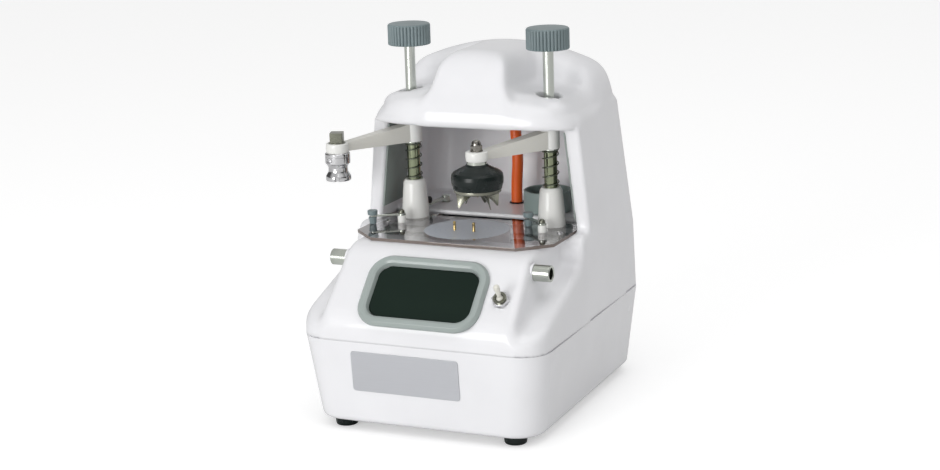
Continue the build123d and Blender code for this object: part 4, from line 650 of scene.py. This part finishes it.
def surface_net(distance, low, high, pitch, steps=3):
    """Quad mesh of the zero surface. Each grid cell that the surface crosses gets one point, the mean of
    the crossings on its edges, which then moves along the gradient on to the surface. Each crossed grid
    edge gets the quad of its four cells."""
    axes = [np.arange(a, b + pitch, pitch) for a, b in zip(low, high)]
    x, y, z = np.meshgrid(*axes, indexing="ij")
    field = distance(x, y, z)
    cells = tuple(n - 1 for n in field.shape)
    total, count = np.zeros((*cells, 3)), np.zeros(cells)
    crossings = []
    for axis in range(3):
        near = [slice(None)] * 3
        far = [slice(None)] * 3
        near[axis], far[axis] = slice(0, -1), slice(1, None)
        first, second = field[tuple(near)], field[tuple(far)]
        crossed = (first < 0) != (second < 0)
        where = np.argwhere(crossed)
        share = first[crossed] / (first[crossed] - second[crossed])
        position = where.astype(float)
        position[:, axis] += share
        others = [a for a in range(3) if a != axis]
        for da in (0, 1):
            for db in (0, 1):
                cell = where.copy()
                cell[:, others[0]] -= da
                cell[:, others[1]] -= db
                good = np.all((cell >= 0) & (cell < np.array(cells)), axis=1)
                flat = np.ravel_multi_index(cell[good].T, cells)
                for k in range(3):
                    total[..., k] += np.bincount(flat, position[good, k], count.size).reshape(cells)
                count += np.bincount(flat, minlength=count.size).reshape(cells)
        crossings.append((axis, others, where, first[crossed] < 0))
    active = count > 0
    number = np.full(cells, -1)
    number[active] = np.arange(active.sum())
    points = total[active] / count[active][:, None] * pitch + np.array(low)
    faces = []
    for axis, others, where, inside_first in crossings:
        limits = np.array([cells[a] for a in others])
        inner = np.all((where[:, others] >= 1) & (where[:, others] < limits), axis=1)
        base, flip = where[inner], inside_first[inner]
        corner = []
        for da, db in ((0, 0), (1, 0), (1, 1), (0, 1)):
            cell = base.copy()
            cell[:, others[0]] -= da
            cell[:, others[1]] -= db
            corner.append(number[tuple(cell.T)])
        quad = np.stack(corner, axis=1)
        turn = flip if axis != 1 else ~flip
        quad[turn] = quad[turn][:, ::-1]
        faces.append(quad)
    step = 0.05
    for _ in range(steps):
        value = distance(*points.T)
        slope = np.stack([
            distance(*(points + offset).T) - distance(*(points - offset).T)
            for offset in np.eye(3) * step], axis=1) / (2 * step)
        length = np.maximum(np.sum(slope * slope, axis=1), 0.25)
        move = -value[:, None] * slope / length[:, None]
        points = points + np.clip(move, -pitch * 0.6, pitch * 0.6)
    return points, np.concatenate(faces)


def build_housing():
    """Upper housing from its distance field, on a grid of 2.8 mm; the foot is laid flat on the seam."""
    points, faces = surface_net(housing_distance, (-123.2, -158.2, 84.8), (123.2, 128.4, 333.0), 2.8)
    foot = points[:, 2] < SEAM_Z + 0.9
    points[foot, 2] = SEAM_Z - SEAM_CLOSED
    thing = mesh_object("upper_housing_shell", points * MM, faces)
    finished(thing, "case", "white_shell", "upper_housing")


build_housing()


# ---------------------------------------------------------------- springs
SPRING_FOOT_Z, SPRING_TOP_Z = 204.5, 239.2


def coil_spring(name, x):
    """Tube round a helix: the path turns at a fixed radius while its height follows the pitch, close at
    both ends and open between; the tube's ring lies in the path's normal plane."""
    radius, wire = 7.4, 0.6
    low, high = SPRING_FOOT_Z + wire, SPRING_TOP_Z - wire
    turns, end_turns, end_pitch, open_pitch = 5.0, 0.75, 1.9, 8.75
    turn = np.linspace(0, turns, 361)
    opening = np.interp(np.minimum(turn, turns - turn), (end_turns - 0.2, end_turns + 0.2), (0, 1))
    pitch = end_pitch + (open_pitch - end_pitch) * opening
    height = np.concatenate([[0], np.cumsum((pitch[1:] + pitch[:-1]) / 2 * np.diff(turn))])
    height = low + height * (high - low) / height[-1]
    angle = turn * 2 * math.pi
    path = np.stack([x + radius * np.cos(angle), radius * np.sin(angle), height], axis=1)
    tangent = np.gradient(path, axis=0)
    tangent /= np.linalg.norm(tangent, axis=1)[:, None]
    outward = np.stack([np.cos(angle), np.sin(angle), 0 * angle], axis=1)
    side = np.cross(tangent, outward)
    around = np.linspace(0, 2 * math.pi, 14, endpoint=False)[None, :, None]
    spokes = outward[:, None, :] * np.cos(around) + side[:, None, :] * np.sin(around)
    ring = path[:, None, :] + wire * spokes
    points = np.concatenate([path[:1] + 0 * ring[0], ring.reshape(-1, 3), path[-1:] + 0 * ring[0]])
    thing = mesh_object(name + "_coil", points * MM, grid_faces(len(turn) + 2, around.size))
    tidy_mesh(thing, 60)
    finished(thing, "case", "spring_steel", name)
    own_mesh(thing)


coil_spring("left_spring", -STEM_X)
coil_spring("right_spring", STEM_X)


# ---------------------------------------------------------------- turned pieces
KNOB_TOP_Z = 352.7
CLIP_X, CLIP_Y, CLIP_REACH = 71.5, -27.5, 27.5
FEET = [(x, y) for x in (-84.3, 84.3) for y in (-131.0, 96.0)]


def ribs(radius, height, angle):
    """Rim with rounded ribs: the radius dips in narrow grooves, 36 round the rim, fading at both ends."""
    groove = np.abs(np.sin(18 * angle)) ** 0.6
    reach = np.clip((radius - 18.4) / 1.2, 0, 1) * np.clip((KNOB_TOP_Z - 0.5 - height) / 2.0, 0, 1)
    return radius - 1.8 * (1 - groove) * reach


def arm_end(x, y, reach, angle):
    """End of an arm of the given reach from (x, y), at an angle in degrees from the X axis."""
    return x + reach * math.cos(math.radians(angle)), y + reach * math.sin(math.radians(angle))


def paired(name, piece, spacing, y, corners, **settings):
    """The same turned piece on both sides of the middle plane, as one object."""
    return joined(name, [lathe(piece, (x, y), corners, **settings) for x in (-spacing, spacing)])


for name, x in (("left", -STEM_X), ("right", STEM_X)):
    knob = lathe(name + "_grip_knob", (x, 0), (
        (0, 349), (5, 349), (5, 333), (11.5, 333, 0.3), (12, 334.5, 0.4), (16.5, 334.5, 0.4), (17, 333, 0.3),
        (20, 333, 0.8), (20, KNOB_TOP_Z, 2.0), (0, KNOB_TOP_Z)), segments=432, shape=ribs, sharp=60)
    finished(knob, name + "_swing", "grey_knob", name + "_knob")
    shaft = lathe(name + "_stem", (x, 0), (
        (0, 186), (6.2, 186, 0.8), (6.2, 241), (5, 241), (5, 349), (0, 349)), segments=64)
    finished(shaft, name + "_swing", "steel", name + "_shaft", finish="stem")
    washer = lathe(name + "_thrust_washer", (x, 0), (
        (6.25, 239.5), (8.3, 239.5, 0.3), (8.3, 240.9, 0.3), (6.25, 240.9)), segments=64, closed=True)
    finished(washer, name + "_press", "steel", name + "_washer")

columns = paired("column_sleeves", "column_sleeve", STEM_X, 0, (
    (6.25, 152), (9, 152, 0.5), (9, 167.6), (13, 167.6, 0.4), (12.9, 171, 2.0), (12.2, 184, 8),
    (11.1, 196.5, 5), (10.7, 201, 2.2), (9.0, 204.2, 0.9), (6.25, 204.2)), closed=True)
finished(columns, "case", "cream_post", "guide_columns")

cup = lathe("pin_cup_piece", (46.5, 49), (
    (0, DECK_Z), (23, DECK_Z, 1.5), (23, 190.5, 0.8), (21, 190.5, 0.8), (21, DECK_Z + 2, 2.5),
    (0, DECK_Z + 2)), segments=128)
finished(cup, "case", "cup_grey", "pin_cup")

feet = joined("feet_piece", [lathe("foot", (x, y), (
    (0, 0), (10, 0, 1.6), (11, 8, 0.3), (3, 8), (3, 12.5), (4, 12.5, 0.3), (3, 14.5, 0.5), (0, 14.5)),
    segments=72) for x, y in FEET])
finished(feet, "case", "black_rubber", "rubber_feet")

pins = paired("brass_pins", "pin", 9.7, TARGET_Y - 6.4, (
    (0, 146), (1.35, 146), (1.35, 172.2), (1.15, 172.5, 0.1), (1.15, 173.0, 0.1), (1.35, 173.3),
    (1.35, 175.4, 0.4), (0.5, 176.2, 0.2), (0, 176.2)), segments=32)
finished(pins, "pins", "brass", "lens_pins")

posts = paired("clip_post_pieces", "clip_post", CLIP_X, CLIP_Y, (
    (2, 167.6), (4.05, 167.6, 0.3), (4.05, 174.5, 0.7), (2, 174.5)), segments=48, closed=True)
finished(posts, "case", "cream_post", "clip_posts")
heads = paired("clip_screw_pieces", "clip_screw", CLIP_X, CLIP_Y, (
    (0, 157.6), (2, 157.6), (2, 176.45), (2.9, 176.45, 0.3), (2.7, 178.6, 1.2), (1.2, 180.0, 0.5),
    (0, 180.05)), segments=40)
finished(heads, "case", "dark_steel", "clip_screws")

for body, angle, x in (("left_clip", 212.5, -CLIP_X), ("right_clip", 139.5, CLIP_X)):
    grip = lathe(body + "_knob_piece", arm_end(x, CLIP_Y, CLIP_REACH, angle), (
        (0, 167.9), (3.1, 167.9, 0.6), (3.4, 171, 0.8), (3.9, 174.6, 0.3), (1.2, 174.6), (1.2, 176.4),
        (4.6, 176.4, 0.5), (4.8, 178.5, 0.8), (4.8, 181, 0.7), (0, 181)), segments=64)
    finished(grip, body, "grey_knob", body + "_knob")

# ---------------------------------------------------------------- heads
left_head, right_head = arm_end(-STEM_X, 0, ARM_LENGTH, 232.4), arm_end(STEM_X, 0, ARM_LENGTH, 235.0)
HEAD_RING_Z, BELL_FOOT_Z = (239, 248), 213.9


def near_angle(angle, middle, half):
    """1 within half of the middle angle and 0 outside, with soft flanks."""
    off = np.abs((angle - middle + math.pi) % (2 * math.pi) - math.pi)
    return np.clip((half - off) / 0.05 + 0.5, 0, 1)


def chuck_cuts(radius, height, angle):
    """Chuck with four notches in its foot and a slot in its collar, as dips of the radius."""
    notch = sum(near_angle(angle, math.radians(spot), 0.16) for spot in (20, 110, 200, 290))
    foot = np.clip((217.2 - height) / 0.8, 0, 1) * np.clip((radius - 7) / 1, 0, 1)
    slot = sum(near_angle(angle, math.radians(spot), 0.30) for spot in (250, 70))
    band = np.clip((height - 230.6) / 0.3, 0, 1) * np.clip((234.2 - height) / 0.3, 0, 1)
    return radius - 2.8 * notch * foot - 3.2 * slot * band * np.clip(radius - 8, 0, 1)


chuck = lathe("block_chuck", left_head, (
    (4, 239), (11.2, 239, 0.4), (11.7, 238.2, 0.4), (11.7, 235.8), (11.3, 235.6), (11.3, 235.3),
    (11.7, 235.1), (11.7, 234.4), (11.7, 233.9), (11.7, 230.9), (11.7, 230.4), (11.7, 229.4, 0.8),
    (10.4, 228.2, 0.8), (9.0, 225.6, 2.5), (9.2, 221.2, 3.0), (11.6, 217.4, 1.2), (11.75, 216.4),
    (11.75, 213, 0.5), (6.6, 213), (6.2, 213.4), (6.2, 221), (0, 221)),
    segments=288, shape=chuck_cuts, sharp=45)
finished(chuck, "left_swing", "chrome", "left_chuck")

for name, head, foot, belly, top in (("left", left_head, 10.4, 10.7, 10.5),
                                     ("right", right_head, 9.9, 10.25, 10.1)):
    low, high = HEAD_RING_Z
    ring = lathe(name + "_ring_piece", head, (
        (4, low), (foot, low, 0.8), (belly, low + 4), (top, high, 1.2), (4, high)), closed=True)
    finished(ring, name + "_swing", "cream_post", name + "_head_ring")


def hexagon(radius, height, angle):
    """Six flats on the nut's lower part: the radius is at most flat / cos(angle from the flat's middle)."""
    flat = 4.8 / np.cos((angle + math.pi / 6) % (math.pi / 3) - math.pi / 6)
    return np.where((height > 248.8) & (height < 253.6) & (radius > 3.5), np.minimum(flat, 5.4), radius)


nut = lathe("dome_nut_piece", right_head, (
    (3, 248), (6.0, 248, 0.2), (6.0, 248.7, 0.2), (5.0, 248.7), (5.4, 249.0), (5.4, 253.0, 0.4),
    (4.5, 253.9, 0.3), (4.3, 255.6, 2.0), (3.2, 257.8, 1.6), (1.2, 258.6, 1), (0, 258.65)), shape=hexagon)
finished(nut, "right_swing", "steel", "right_dome_nut", finish="nut_chrome")

bell = lathe("rubber_bell_piece", right_head, (
    (4, 236.4), (9.6, 236.4, 0.5), (10.8, 234.9, 1.0), (17.6, 231.6, 8), (21.9, 229.2, 2.5),
    (23.4, 227.4, 0.8), (23.9, 224.0, 6), (23.7, 219.5, 10), (22.3, 215.2, 3), (22.3, BELL_FOOT_Z, 0.4),
    (20.9, BELL_FOOT_Z, 0.3), (21.0, 222, 2), (15, 229.5, 4), (4, 232)), segments=144, closed=True)
finished(bell, "right_swing", "black_rubber", "rubber_bell")


def finger_blades():
    """Disc with five sheet blades: u runs from a blade's inner to its outer edge, v from the disc down to
    the tip. The lower edge falls outwards and the sheet leans round the head by 2.4 v squared."""
    u, v = np.meshgrid(np.linspace(0, 1, 9), np.linspace(0, 1, 13), indexing="ij")
    root_z, half_sheet = 211, 0.35
    reach = 8 + 11.5 * u - 1.2 * u * v
    tip = 205.8 - 9.2 * np.clip(u * 1.15, 0, 1) ** 1.3
    height = root_z + (tip - root_z) * v
    lean = 2.4 * v * v + 0.8 * np.sin(math.pi * u) * v
    parts = []
    for spot in (25, 85, 145, 205, 325):
        cos, sin = math.cos(math.radians(spot)), math.sin(math.radians(spot))
        sheet = [np.stack([right_head[0] + reach * cos - (lean + face) * sin,
                           right_head[1] + reach * sin + (lean + face) * cos, height], axis=-1)
                 for face in (-half_sheet, half_sheet)]
        rows = np.concatenate([sheet[0], sheet[1][::-1]]).transpose(1, 0, 2)
        ends = [end.mean(axis=1, keepdims=True) + 0 * end for end in (rows[:1], rows[-1:])]
        points = np.concatenate([ends[0], rows, ends[1]])
        blade = mesh_object("blade", points.reshape(-1, 3) * MM, grid_faces(*points.shape[:2]))
        parts.append(tidy_mesh(blade, 45))
    disc = lathe("disc", right_head, (
        (1.4, 210.5), (20.6, 210.5, 0.6), (21.5, 211.4, 0.5), (21.5, BELL_FOOT_Z, 0.2), (1.4, BELL_FOOT_Z)),
        closed=True)
    boss = lathe("boss", right_head, (
        (1.4, 208.2), (3.4, 208.2, 0.5), (3.8, 210.6), (1.4, 210.6)), segments=48, closed=True)
    fingers = joined("finger_plate_piece", [*parts, disc, boss])
    finished(fingers, "right_swing", "chrome", "finger_plate", finish="finger_steel")


finger_blades()

tip = lathe("centre_pin_piece", right_head, (
    (0, 205.5), (0.5, 205.5, 0.2), (1.35, 206.9, 0.3), (1.35, 226), (0, 226)), segments=32)
finished(tip, "gripper_pin", "brass", "centre_pin")


# ---------------------------------------------------------------- window bezel
def bezel_ring():
    """Profile carried along a rounded rectangle on the 45 degree face: at each place of the path the
    profile's first number runs inwards from the outer edge and its second stands off the face."""
    half_u, half_v, corner = 59.5, 36.3, 22.0
    quarter = np.linspace(0, math.pi / 2, 19)
    path, outward = [], []
    for turn, (side_u, side_v) in enumerate(((1, 1), (-1, 1), (-1, -1), (1, -1))):
        angle = quarter + turn * math.pi / 2
        outward.append(np.stack([np.cos(angle), np.sin(angle)], 1))
        path.append(np.array([side_u * (half_u - corner), side_v * (half_v - corner)]) + corner * outward[-1])
    path, outward = np.concatenate(path)[:, None, :], np.concatenate(outward)[:, None, :]
    outline = rounded_outline((
        (0, 0), (0, 2.2, 0.5), (2.4, 5.0, 1.6), (6.2, 5.0, 1.0), (8.6, 3.6, 1.2), (9.4, 1.6, 0.6),
        (10, 0.1), (10, 0), (0, 0)))[None, :, :]
    u, v = np.moveaxis(path - outward * outline[..., :1], -1, 0)
    v = v - WINDOW_DROP
    w = outline[..., 1] + 0 * u
    points = np.stack([u, SLOPE_EDGE_Y + (v - w) / DIAGONAL, STAGE_FLOOR_Z + (v + w) / DIAGONAL], axis=-1)
    faces = grid_faces(*points.shape[:2], wrap_rows=True)
    ring = tidy_mesh(mesh_object("bezel_piece", points.reshape(-1, 3) * MM, faces), 60)
    finished(ring, "case", "bezel_grey", "window_bezel")


bezel_ring()


# ---------------------------------------------------------------- toggle lever
def toggle_bat():
    """Bat-shaped lever turned about its own axis, then laid on the 45 degree face 14 degrees up the slope."""
    tilt = math.radians(14)
    bat = lathe("toggle_bat", (0, 0), (
        (0, -3.4), (3.4, -3.0, 2.5), (3.4, 1.2, 2.0), (1.9, 3.2, 0.8), (2.0, 6), (2.9, 13.0, 3),
        (2.7, 15.4, 1.2), (1.4, 16.6, 0.8), (0, 16.8)), segments=48)
    normal, uphill, side = Vector((0, -1, 1)) / DIAGONAL, Vector((0, 1, 1)) / DIAGONAL, Vector((1, 0, 0))
    axis = normal * math.cos(tilt) + uphill * math.sin(tilt)
    turn = Matrix((side, axis.cross(side), axis)).transposed().to_4x4()
    foot = Vector((SWITCH_X, SLOPE_EDGE_Y, STAGE_FLOOR_Z)) - uphill * SWITCH_DROP + normal * 3
    bat.data.transform(Matrix.Translation(foot * MM) @ turn)
    finished(bat, "toggle", slot_of["toggle_lever"], "toggle_lever", finish="ivory")


toggle_bat()

# ---------------------------------------------------------------- pieces with softened edges
for name, width, body in (
    ("left_arm", 1.6, "left_swing"), ("right_arm", 1.6, "right_swing"), ("left_head_bolt", 1.3, "left_swing"),
    ("stage_plate", 0.4, "case"), ("nameplate", 0.25, "case"), ("rear_cover", 0.5, "case"),
    ("toggle_nut", 0.4, "case"), ("left_clip", 0.3, "left_clip"), ("right_clip", 0.3, "right_clip"),
    ("pin_lever", 0.3, "pin_release"), ("power_inlet", 0.5, "case"), ("cross_shaft", 0.5, "cursor_shaft"),
    # The side panels carry the painted shade of the recess's inner side walls.
    ("side_panels", 0.3, "case"),
):
    softened(name, width, body)
softened("shaft_bushes", 0.3, "case", finish="white_shell")
